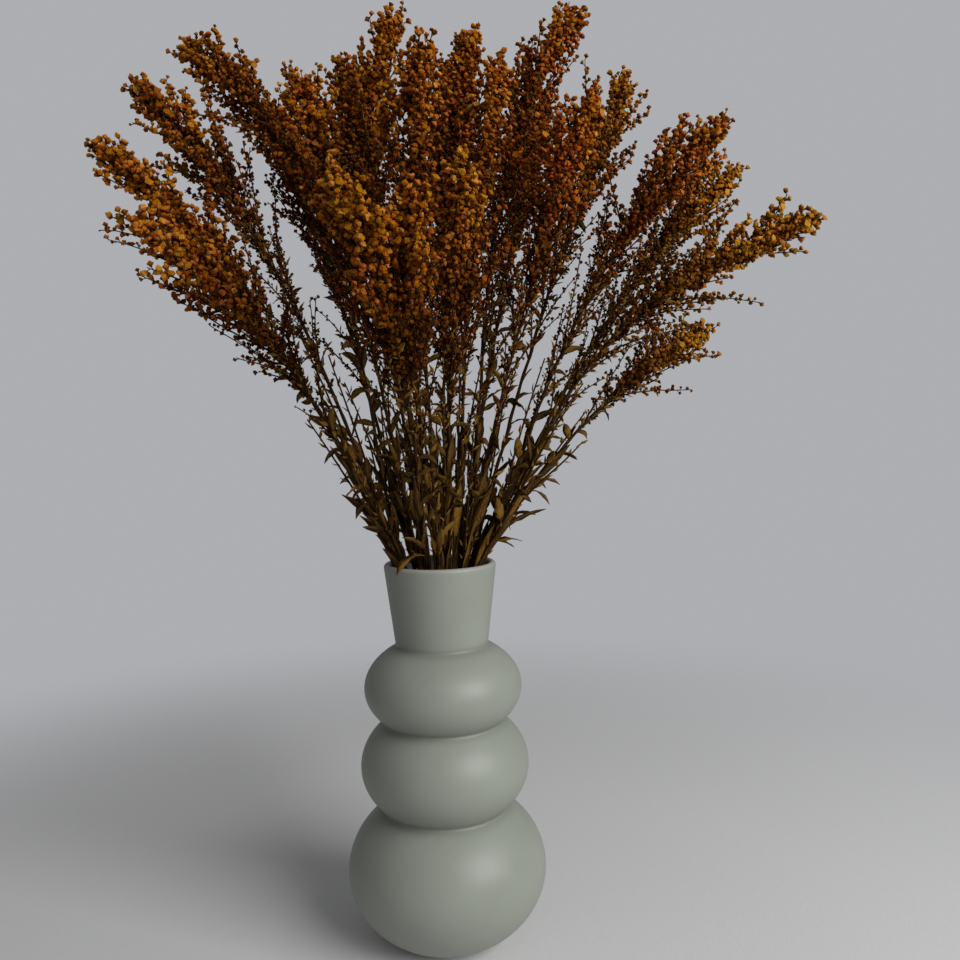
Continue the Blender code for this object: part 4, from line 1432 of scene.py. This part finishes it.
def floret_material(name, colour, settings):
    """Dry flower heads: dark husk at the base, the tone's colour towards a paler tuft, and painted
    shade that darkens barer heads low and deep in a plume.
    """
    made, tree, shader = new_material(name, {"Specular IOR Level": 0.07})
    patches = place_group(tree, patches_group(), patch_size=0.028, fleck_size=0.0011)
    # The mark holds each head's husk-to-tip colour times painted shade on barer heads
    ripe = combined(tree, mark(tree, "ripeness"), ranged(tree, patches["Flecks"], -0.14, 0.14))
    ramp = add_node(tree, "ShaderNodeValToRGB", {"Fac": ripe})
    stops = ramp.color_ramp.elements
    stops[0].position = HUSK_STOP
    stops[0].color = solid(settings.husk_colour)
    stops[1].position = 1.0
    stops[1].color = solid([part * bright for part, bright in zip(colour, TIP_BRIGHTNESS)])
    for position, factor in FLORET_STOPS:
        stops.new(position).color = solid(colour, factor)
    head_hue = ranged(tree, mark(tree, "tint"), *HEAD_HUE)
    inputs = {
        "Hue": combined(tree, head_hue, ranged(tree, patches["Patches"], *PATCH_HUE)),
        "Saturation": ranged(tree, mark(tree, "chance"), *HEAD_SATURATION),
        "Value": ranged(tree, mark(tree, "chance"), *HEAD_VALUE),
        "Color": ramp.outputs["Color"],
    }
    varied = add_node(tree, "ShaderNodeHueSaturation", inputs).outputs["Color"]
    rough = ranged(tree, patches["Flecks"], 0.68, 0.9)
    relief = place_group(tree, relief_group(), grain_size=0.0004, hollow_size=0.0012, hollows=1.0)
    finish_shader(tree, shader, varied, rough, relief["Height"], FLORET_RELIEF)
    return made


@cache
def floret_tones(plumes):
    """The florets' material in each tone."""
    return {
        tone: floret_material(tone + "_florets", getattr(plumes, tone + "_colour"), plumes)
        for tone in ("amber", "rust", "mustard")
    }


@cache
def bark_material(settings):
    """Dry bark: streaked brown, olive low on the stem and darker towards the twigs."""
    made, tree, shader = new_material("dry_stem_bark", {"Specular IOR Level": 0.12})
    patches = place_group(tree, patches_group(), patch_size=0.018, fleck_size=0.0012)
    streaks = place_group(tree, fibre_group(), streak_size=0.0006, stretch=14.0)["Streaks"]
    olive = ranged(tree, patches["Patches"], 0.0, 0.6)
    tone = mixed(tree, olive, solid(settings.stem_colour), solid(settings.lichen_colour))
    tone = mixed(tree, mark(tree, "along"), tone, solid(settings.twig_colour))
    dark = mixed(tree, 1.0, tone, (0.45, 0.42, 0.40, 1.0), "MULTIPLY")
    tone = mixed(tree, streaks, dark, tone)
    finish_shader(tree, shader, tone, ranged(tree, streaks, 0.85, 0.65), streaks, PLANT_RELIEF)
    return made


def leaf_material(settings):
    """Dry leaf: olive gold, paler rib and veins, withered brown edge and tip."""
    made, tree, shader = new_material("dry_leaf", {"Specular IOR Level": 0.15})
    patches = place_group(tree, patches_group(), patch_size=0.009, fleck_size=0.0009)
    leaf = settings.leaf_colour
    withered = settings.leaf_edge_colour
    along = mark(tree, "along")
    off_rib = combined(tree, mark(tree, "across"), 0.0, "ABSOLUTE")
    tone = mixed(tree, mark(tree, "chance"), solid(leaf, 0.24), solid(leaf, 1.60))
    tone = mixed(tree, ranged(tree, patches["Patches"], 0.0, 0.7), tone, solid(withered, 1.3))
    rows = combined(tree, along, 34.0, "MULTIPLY")
    slant = combined(tree, rows, combined(tree, off_rib, 9.0, "MULTIPLY"), "SUBTRACT")
    wave = add_node(tree, "ShaderNodeMath", {0: slant}, operation="SINE").outputs[0]
    rib = ranged(tree, off_rib, 1.0, 0.0, 0.05, 0.16)
    veins = combined(tree, ranged(tree, wave, 0.0, 0.45, 0.82, 1.0), rib, "MAXIMUM")
    tone = mixed(tree, combined(tree, veins, 0.5, "MULTIPLY"), tone, solid(leaf, 1.8))
    edge = ranged(tree, off_rib, 0.0, 1.0, 0.72, 1.0)
    tip = ranged(tree, along, 0.0, 1.0, 0.78, 1.0)
    ends = combined(tree, edge, tip, "MAXIMUM")
    worn = combined(tree, ends, ranged(tree, patches["Flecks"], 0.4, 0.9), "MULTIPLY")
    tone = mixed(tree, worn, tone, solid(withered))
    rough = ranged(tree, patches["Flecks"], 0.6, 0.8)
    relief = combined(tree, combined(tree, veins, -0.6, "MULTIPLY"), patches["Flecks"])
    finish_shader(tree, shader, tone, rough, relief, PLANT_RELIEF)
    return made


def floor_material(settings):
    """Pale matte floor that fades into the backdrop far from the object."""
    made, tree, shader = new_material("pale_floor", {"Specular IOR Level": 0.2})
    patches = place_group(tree, patches_group(), patch_size=0.20, fleck_size=0.003)
    pale = settings.floor_colour
    tone = mixed(tree, patches["Patches"], solid(pale, 0.98), solid(pale))
    rough = ranged(tree, patches["Flecks"], 0.8, 0.9)
    place = add_node(tree, "ShaderNodeTexCoord").outputs["Object"]
    away = add_node(tree, "ShaderNodeVectorMath", {0: place}, operation="LENGTH").outputs["Value"]
    near, far = FLOOR_FADE
    inputs = {"Value": away, "From Min": near, "From Max": far, "To Min": 1.0, "To Max": 0.0}
    fade = add_node(tree, "ShaderNodeMapRange", inputs, interpolation_type="SMOOTHERSTEP")
    tree.links.new(fade.outputs["Result"], shader.inputs["Alpha"])
    relief = place_group(tree, relief_group(), grain_size=0.0015, hollow_size=0.012, hollows=1.0)
    finish_shader(tree, shader, tone, rough, relief["Height"], FLOOR_RELIEF)
    return made


# Pieces


def vase_section():
    """The vase's closed half section and its marks: up the inside, over the lip, down."""
    lip_base = VASE_HEIGHT - WALL / 2.0
    inside = np.linspace(FLOOR_THICKNESS * INSIDE_START, lip_base, INSIDE_POINTS)
    floor_edge = float(inner_radius(FLOOR_THICKNESS)) - WALL
    section = [(0.0, FLOOR_THICKNESS), (floor_edge, FLOOR_THICKNESS)]
    section += [(float(inner_radius(z)), z) for z in inside]
    lip_centre = float(outer_radius(lip_base) + inner_radius(lip_base)) / 2.0
    lip_radius = float(outer_radius(lip_base)) - lip_centre
    for step in range(1, FINE_LIP_POINTS):
        angle = pi * (1.0 - step / FINE_LIP_POINTS)
        section.append((lip_centre + lip_radius * cos(angle), lip_base + WALL / 2.0 * sin(angle)))
    heights = [np.linspace(0.0, lip_base, OUTSIDE_POINTS)]
    for groove in GROOVES:
        heights.append(groove + np.linspace(-GROOVE_REACH, GROOVE_REACH, GROOVE_POINTS))
    heights = np.unique(np.concatenate(heights))[::-1]
    section += [(float(outer_radius(z)), z) for z in heights]
    ring = float(outer_radius(0.0)) - FOOT_RING
    foot = [(ring, 0.0), (ring - FOOT_RECESS, FOOT_RECESS), (0.0, FOOT_RECESS)]
    section = np.array(section + foot)
    pooled = np.exp(-((section[:, 1:] - np.array(GROOVES)) / POOL_WIDTH) ** 2).sum(axis=1)
    pooled[: len(inside) + 2] = 0.0
    thin = np.clip((section[:, 1] - lip_base) / (WALL / 2.0), 0.0, 1.0)
    # The glaze ends where the outside meets the ground
    bare = (np.arange(len(section)) >= len(section) - len(foot) - 1).astype(float)
    return section, {"pooled": pooled, "thinned": thin, "bare": bare}


def make_vase(settings):
    """The vase, its half section turned round the Z axis."""
    section, marks = vase_section()
    angles = angles_round(FINE_SEGMENTS)
    count = len(section)
    middle = section[1:-1]
    rows = np.stack(
        (
            middle[:, :1] * np.cos(angles),
            middle[:, :1] * np.sin(angles),
            np.broadcast_to(middle[:, 1:], (count - 2, FINE_SEGMENTS)),
        ),
        axis=-1,
    )
    ends = np.array([(0.0, 0.0, section[0, 1]), (0.0, 0.0, section[-1, 1])])
    points = np.vstack((ends[:1], rows.reshape(-1, 3), ends[1:]))
    faces = []
    for side in range(FINE_SEGMENTS):
        after = (side + 1) % FINE_SEGMENTS
        faces.append((0, 1 + side, 1 + after))
        for row in range(count - 3):
            a = 1 + row * FINE_SEGMENTS + side
            b = 1 + row * FINE_SEGMENTS + after
            faces += [(a, b + FINE_SEGMENTS, b), (a, a + FINE_SEGMENTS, b + FINE_SEGMENTS)]
        low = 1 + (count - 3) * FINE_SEGMENTS
        faces.append((low + side, len(points) - 1, low + after))
    spread = {}
    for name, values in marks.items():
        rings = np.repeat(values[1:-1], FINE_SEGMENTS)
        spread[name] = np.concatenate((values[:1], rings, values[-1:]))
    piece = Gathered()
    piece.add(points, faces, **spread)
    vase = piece.piece("glazed_vase", [glaze_material(settings)])
    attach(vase, "root")
    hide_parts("vase")


def add_stem(piece, stalk, rng):
    """Add a stem's own rod, a little crooked and uneven."""
    inside = length_at(stalk, VASE_HEIGHT - ROD_DEPTH)
    low = np.linspace(0.0, inside, HIDDEN_POINTS)[:-1]
    high = np.linspace(inside, stalk.top, 1 + round((stalk.top - inside) / ROD_STEP))
    at = np.concatenate((low, high))
    line = point_along(stalk.line, stalk.lengths, at)
    bends = rng.uniform(-1.0, 1.0, (len(ROD_WAVES), 2))
    ends = np.clip(np.minimum(at - inside, stalk.top - at) / ROD_ENDS, 0.0, 1.0)
    for wave, bend in zip(ROD_WAVES, bends):
        sway = np.sin(at * (2.0 * pi) / wave + WAVE_SHIFT * bend[1])
        line[:, :2] += ROD_SWAY * bend * (sway * ends)[:, None]
    radii = np.interp(at, (0.0, stalk.top), (STEM_FOOT_RADIUS, STEM_TOP_RADIUS))
    knots = np.sin(at * 2.0 * pi / KNOT_SPACING + KNOT_SHIFT * bends[0, 0])
    radii = radii * (1.0 + KNOT_SIZE * knots)
    share = np.clip((at - inside) / (stalk.top - inside), 0.0, 1.0)
    add_tubes(piece, line[None], radii[None], ROD_SIDES, share[None] * BARK_SHADE)


def add_leaves(piece, stalk, low, high, spacing, kind, rng):
    """Add the many narrow leaves that stand along a stem between two lengths."""
    count = max(1, round((high - low) / spacing))
    start_angle = rng.uniform(0.0, 2.0 * pi)
    for number in range(count):
        share = (number + rng.uniform(0.0, SMALL_LEAF_SCATTER)) / count
        (root,), (direction,) = on_stalk(stalk, np.array((low + (high - low) * share,)))
        opening = radians(rng.uniform(*kind.opening))
        heading = opened(direction, opening, start_angle + GOLDEN_ANGLE * number)
        length = between(share, kind.length) * rng.uniform(*LEAF_UNEVENNESS)
        half_width = between(share, kind.half_width) * rng.uniform(*LEAF_UNEVENNESS)
        curve = bent_line(root, heading, length, -rng.uniform(*kind.droop), LEAF_STEPS)
        roll = rng.uniform(-pi, pi)
        if clears_vase(curve, np.full(len(curve), half_width * LEAF_ROOM)):
            chance = rng.uniform() ** SMALL_LEAF_DARKNESS
            add_blade(piece, curve, half_width, roll, kind.twist, chance, rng)


def shoots_beside(stalk, starts, kind, rng):
    """Lines of shoots that leave a stalk and run beside it, ever further away."""
    count = len(starts)
    most = (stalk.lengths[-1] - starts) * SHOOT_LIMIT
    reaches = np.minimum(rng.uniform(*kind.length, count), most)
    spreads = reaches * np.tan(np.radians(rng.uniform(*kind.opening, count)))
    angles = GOLDEN_ANGLE * np.arange(count) + rng.uniform(0.0, 2.0 * pi)
    share = np.linspace(0.0, 1.0, SHOOT_POINTS)
    middle, direction = on_stalk(stalk, starts[:, None] + reaches[:, None] * share)
    outward = turned(*across_all(direction), angles[:, None, None])
    lines = middle + outward * (spreads[:, None] * share ** SHOOT_CURVE)[..., None]
    bends = rng.uniform(-1.0, 1.0, (count, 1, 3))
    waves = np.sin(share * 2.0 * pi + rng.uniform(0.0, SWAY_SHIFT, (count, 1)))
    sway = bends * waves[..., None]
    lines = fitted(lines + sway * SHOOT_SWAY * share[:, None], HEAD_MARGIN)
    clear = [clears_vase(line, np.full(SHOOT_POINTS, SHOOT_ROOM)) for line in lines]
    return lines[np.array(clear, dtype=bool)]


def add_bracts(piece, lines, upto, rng):
    """Add the small leaves along shoots, up to a share of them."""
    rows, number, shares = spread_along(lines, BRACT_SPACING, BRACTS_FROM, rng)
    roots, directions = spots_on(lines, rows, shares * upto)
    openings = np.radians(rng.uniform(*BRACT_OPENING, len(rows)))
    axes = leaning(directions, openings, GOLDEN_ANGLE * number + rows)
    sizes = rng.uniform(*BRACT_LENGTH, len(rows))
    kept = inside_box(roots, sizes)
    chance = rng.uniform(*BRACT_CHANCE, len(rows))[kept]
    roots, axes, sizes = roots[kept], axes[kept], sizes[kept]
    add_copies(piece, bract_shape(), roots, axes, sizes, LEAF_SLOT, rng, chance=chance)


def add_leafy_shoots(piece, stalk, starts, kind, rng):
    """Add shoots of a kind with their small leaves, and give their lines."""
    lines = shoots_beside(stalk, starts, kind, rng)
    if len(lines):
        add_rods(piece, lines, kind.radii, kind.sides)
        add_bracts(piece, lines, kind.leafy, rng)
    return lines


def add_shoots(piece, stalk, stems, plumes, rng):
    """Add the flowering shoots below and in the plume, and the leafy ones by the rim."""
    low = max(length_at(stalk, VASE_HEIGHT + UPPER_SHOOTS_FROM), stalk.top - UPPER_SHOOTS_SPAN)
    high = stalk.top + UPPER_SHOOTS_TO * stalk.length
    count = round((high - low) / stems.shoot_spacing)
    shares = (np.arange(count) + rng.uniform(0.0, SHOOT_SCATTER, count)) / count
    starts = low + (high - low) * shares ** UPPER_SHOOTS_GATHER
    lines = add_leafy_shoots(piece, stalk, starts, UPPER_SHOOT, rng)
    # Lower shoots are barer, with darker heads: painted shade
    full = np.linspace(*UPPER_SHOOT_FULL_AND_LIT, len(lines))
    girth = np.linspace(*UPPER_SHOOT_GIRTH, len(lines))
    spacing = SHOOT_BRANCHLET_SPACING
    dress_racemes(piece, bud_shapes(), lines, full, girth, spacing, plumes, SHOOT_HEAD_SLOT, rng)
    low = length_at(stalk, VASE_HEIGHT - LOWER_SHOOTS_BELOW)
    high = length_at(stalk, VASE_HEIGHT + LOWER_SHOOTS_ABOVE)
    starts = rng.uniform(low, high, LOWER_SHOOTS)
    add_leafy_shoots(piece, stalk, starts, LOWER_SHOOT, rng)


def make_stems(stems, plumes):
    """Every stem with its larger leaves, small leaves and shoots."""
    bark = bark_material(stems)
    leaf = leaf_material(stems)
    tones = floret_tones(plumes)
    rng = np.random.default_rng(DETAIL_SEED + 1)
    for stalk in bouquet():
        piece = Gathered()
        add_stem(piece, stalk, rng)
        for curve, half_width, roll in stalk.leaves:
            chance = rng.uniform(*LARGE_LEAF_CHANCE)
            add_blade(piece, curve, half_width, roll, LARGE_LEAF_TWIST, chance, rng)
        rim = length_at(stalk, VASE_HEIGHT)
        low, high = rim + STEM_LEAVES_FROM, stalk.top + STEM_LEAVES_TO * stalk.length
        add_leaves(piece, stalk, low, high, stems.leaf_spacing, STEM_LEAF, rng)
        low, high = rim + CLINGING_FROM, rim + CLINGING_TO
        add_leaves(piece, stalk, low, high, CLINGING_SPACING, CLINGING_LEAF, rng)
        add_shoots(piece, stalk, stems, plumes, rng)
        stem = piece.piece("leafy_stem_" + stalk.name, [bark, leaf, tones[stalk.tone]])
        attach(stem, "root")
        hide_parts("stem_" + stalk.name)


def plume_racemes(stalk, settings, rng):
    """Lines of a plume's racemes, the main ones and the filling ones, and their shares."""
    dense = stalk.length - SPRAY_START - SPRAY_END
    count = round(dense / settings.raceme_spacing)
    shares = (np.arange(count) + rng.uniform(*RACEME_SCATTER, count)) / count
    shares = shares ** RACEMES_GATHER
    width = stalk.width * RACEME_WIDTH * np.interp(stalk.line[-1, 1], FRONT_PLACES, FRONT_WIDTHS)
    width *= BUSHIER.get(stalk.name, 1.0)
    places = spray_places(stalk.line, stalk.length, width, shares, RACEME_TAPER)
    roots, directions, half_widths = places
    openings = np.radians(between(shares, RACEME_OPENING))
    openings = openings * rng.uniform(*RACEME_OPENING_SPREAD, count)
    reaches = np.minimum(half_widths / np.sin(openings), LONGEST_RACEME)
    reaches = reaches * rng.uniform(*RACEME_REACH, count)
    reaches = np.minimum(reaches, ((1.0 - shares) * dense + SPRAY_END) * RACEME_LIMIT)
    reaches = reaches * np.interp(shares, (0.0, SLIM_UPTO), (SLIM_FOOT, 1.0))
    angles = GOLDEN_ANGLE * np.arange(count) + rng.uniform(-RACEME_TURN, RACEME_TURN, count)
    bends = rng.uniform(-RACEME_BEND, RACEME_BEND, (count, 3)) + (0.0, 0.0, SPRAY_LIFT)
    headings = leaning(directions, openings, angles)
    filling = bent_lines(roots, headings, reaches, bends, SPRAY_STEPS)
    main = np.array([line for line, _ in stalk.sprays])
    lines = fitted(np.concatenate((main, filling)), HEAD_MARGIN)
    return lines, np.concatenate(([share for _, share in stalk.sprays], shares))


def make_plume(stalk, settings, materials, rng):
    """One plume: its middle branch, its racemes and all its flower heads."""
    piece = Gathered()
    share = np.linspace(0.0, 1.0, 2 * LEADER_STEPS)
    middle, _ = on_stalk(stalk, stalk.top + SEAT_GAP + (stalk.length - LEADER_GAP) * share)
    add_rods(piece, fitted(middle[None], HEAD_MARGIN), LEADER_RADII, ROD_SIDES)
    lines, shares = plume_racemes(stalk, settings, rng)
    add_rods(piece, lines, RACEME_RADII, RACEME_SIDES)
    # Racemes low on a plume are barer, and their heads darker with painted shade
    full = np.interp(shares, (0.0, HALF_FULL_FROM, FULL_FROM), (LEAST_FULL_AND_LIT, HALF_FULL_AND_LIT, 1.0))
    share = np.linspace(LEADER_FROM, 1.0, LEADER_STEPS)
    leader, _ = on_stalk(stalk, stalk.top + (stalk.length - LOOK_AHEAD) * share)
    leader = fitted(leader[None], HEAD_MARGIN)
    kinds = head_shapes() + bud_shapes()
    parts = (lines, full, settings.branchlet_spacing), (leader, np.ones(1), LEADER_SPACING)
    for branches, fullness, spacing in parts:
        girth = np.ones(len(branches))
        slot = PLUME_HEAD_SLOT
        dress_racemes(piece, kinds, branches, fullness, girth, spacing, settings, slot, rng)
    plume = piece.piece("goldenrod_plume_" + stalk.name, materials)
    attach(plume, "root")
    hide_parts("plume_" + stalk.name)


def make_plumes(stems, plumes):
    """Every plume, in its stalk's tone."""
    bark = bark_material(stems)
    rng = np.random.default_rng(DETAIL_SEED + 2)
    for stalk in bouquet():
        make_plume(stalk, plumes, [bark, floret_tones(plumes)[stalk.tone]], rng)


def looking(place, target):
    """The matrix of a lamp at a place that shines at a target."""
    back = unit(place - target)
    side = unit(np.cross((0.0, 0.0, 1.0), back))
    up = np.cross(back, side)
    rows = np.column_stack((side, up, back, place))
    return Matrix([*rows.tolist(), (0.0, 0.0, 0.0, 1.0)])


def make_floor(settings):
    """A round floor under the vase."""
    piece = Gathered()
    angles = angles_round(FLOOR_SIDES)
    rim = np.column_stack((np.cos(angles), np.sin(angles), np.zeros(FLOOR_SIDES)))
    faces = [(FLOOR_SIDES, side, (side + 1) % FLOOR_SIDES) for side in range(FLOOR_SIDES)]
    piece.add(np.vstack((FLOOR_RADIUS * rim, (0.0, 0.0, 0.0))), faces)
    piece.piece("pale_floor", [floor_material(settings)])


def make_light(settings):
    """A large soft lamp at the front right, and even light from all sides."""
    world = bpy.data.worlds.new("studio")
    world.use_nodes = True
    tree = world.node_tree
    tree.nodes.clear()
    inputs = {"Color": solid(settings.backdrop_colour), "Strength": 1.0}
    seen = add_node(tree, "ShaderNodeBackground", inputs).outputs[0]
    inputs = {"Color": solid(AMBIENT_COLOUR), "Strength": settings.ambient_light}
    lit = add_node(tree, "ShaderNodeBackground", inputs).outputs[0]
    direct = add_node(tree, "ShaderNodeLightPath").outputs["Is Camera Ray"]
    both = add_node(tree, "ShaderNodeMixShader", {0: direct, 1: lit, 2: seen}).outputs[0]
    add_node(tree, "ShaderNodeOutputWorld", {"Surface": both})
    bpy.context.scene.world = world
    lamp = bpy.data.lights.new("front_lamp", "AREA")
    lamp.shape = "RECTANGLE"
    lamp.size, lamp.size_y = LAMP_SIZE
    lamp.energy = settings.lamp_power
    holder = bpy.data.objects.new("front_lamp", lamp)
    holder.matrix_world = looking(np.array(LAMP_PLACE), np.array(LAMP_TARGET))
    bpy.context.scene.collection.objects.link(holder)


def make_camera(settings):
    """The camera, in front of the bouquet and looking a little down."""
    camera = bpy.data.cameras.new("camera")
    camera.sensor_width = SENSOR_WIDTH
    camera.lens = settings.camera_lens
    camera.clip_start = CLIP_START
    camera.clip_end = CLIP_END
    eye = bpy.data.objects.new("camera", camera)
    pitch = Matrix.Rotation(pi / 2.0 - settings.camera_pitch, 4, "X")
    roll = Matrix.Rotation(-settings.camera_roll, 4, "Z")
    eye.matrix_world = Matrix.Translation(settings.camera_place) @ pitch @ roll
    bpy.context.scene.collection.objects.link(eye)
    bpy.context.scene.camera = eye
    bpy.context.scene.view_settings.view_transform = "Standard"


class GOLDENROD_OT_vase(bpy.types.Operator):
    """Turn the smooth glazed vase in place of its solid"""

    bl_idname = "goldenrod.vase"
    bl_label = "Glazed Vase"

    def execute(self, context):
        make_vase(context.scene.goldenrod_vase)
        return {"FINISHED"}


class GOLDENROD_OT_stems(bpy.types.Operator):
    """Grow the leafy stems in place of their solids"""

    bl_idname = "goldenrod.stems"
    bl_label = "Leafy Stems"

    def execute(self, context):
        make_stems(context.scene.goldenrod_stems, context.scene.goldenrod_plumes)
        return {"FINISHED"}


class GOLDENROD_OT_plumes(bpy.types.Operator):
    """Grow the plumes of flower heads in place of their solids"""

    bl_idname = "goldenrod.plumes"
    bl_label = "Plumes"

    def execute(self, context):
        make_plumes(context.scene.goldenrod_stems, context.scene.goldenrod_plumes)
        return {"FINISHED"}


class GOLDENROD_OT_stage(bpy.types.Operator):
    """Add the floor, the light and the camera"""

    bl_idname = "goldenrod.stage"
    bl_label = "Stage"

    def execute(self, context):
        settings = context.scene.goldenrod_stage
        make_floor(settings)
        make_light(settings)
        make_camera(settings)
        return {"FINISHED"}


class GOLDENROD_PT_panel(bpy.types.Panel):
    """Settings and buttons for the vase of goldenrod"""

    bl_idname = "GOLDENROD_PT_panel"
    bl_label = "Vase of Goldenrod"
    bl_space_type = "VIEW_3D"
    bl_region_type = "UI"
    bl_category = "Goldenrod"

    def draw(self, context):
        for holder, (_, operator) in SETTINGS.items():
            box = self.layout.box()
            settings = getattr(context.scene, holder)
            for name in settings.__annotations__:
                box.prop(settings, name)
            box.operator(operator.bl_idname)


# Where each group of settings is kept, and the operator that uses it
SETTINGS = {
    "goldenrod_vase": (VaseSettings, GOLDENROD_OT_vase),
    "goldenrod_stems": (StemSettings, GOLDENROD_OT_stems),
    "goldenrod_plumes": (PlumeSettings, GOLDENROD_OT_plumes),
    "goldenrod_stage": (StageSettings, GOLDENROD_OT_stage),
}


def register():
    """Register the settings, operators and panel."""
    for holder, (settings, operator) in SETTINGS.items():
        bpy.utils.register_class(settings)
        setattr(bpy.types.Scene, holder, PointerProperty(type=settings))
        bpy.utils.register_class(operator)
    bpy.utils.register_class(GOLDENROD_PT_panel)


def unregister():
    """Take away the settings, operators and panel."""
    bpy.utils.unregister_class(GOLDENROD_PT_panel)
    for holder, (settings, operator) in SETTINGS.items():
        bpy.utils.unregister_class(operator)
        delattr(bpy.types.Scene, holder)
        bpy.utils.unregister_class(settings)


def main():
    """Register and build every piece."""
    register()
    bpy.ops.goldenrod.vase()
    bpy.ops.goldenrod.stems()
    bpy.ops.goldenrod.plumes()
    bpy.ops.goldenrod.stage()
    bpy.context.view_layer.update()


if __name__ == "__main__":
    main()
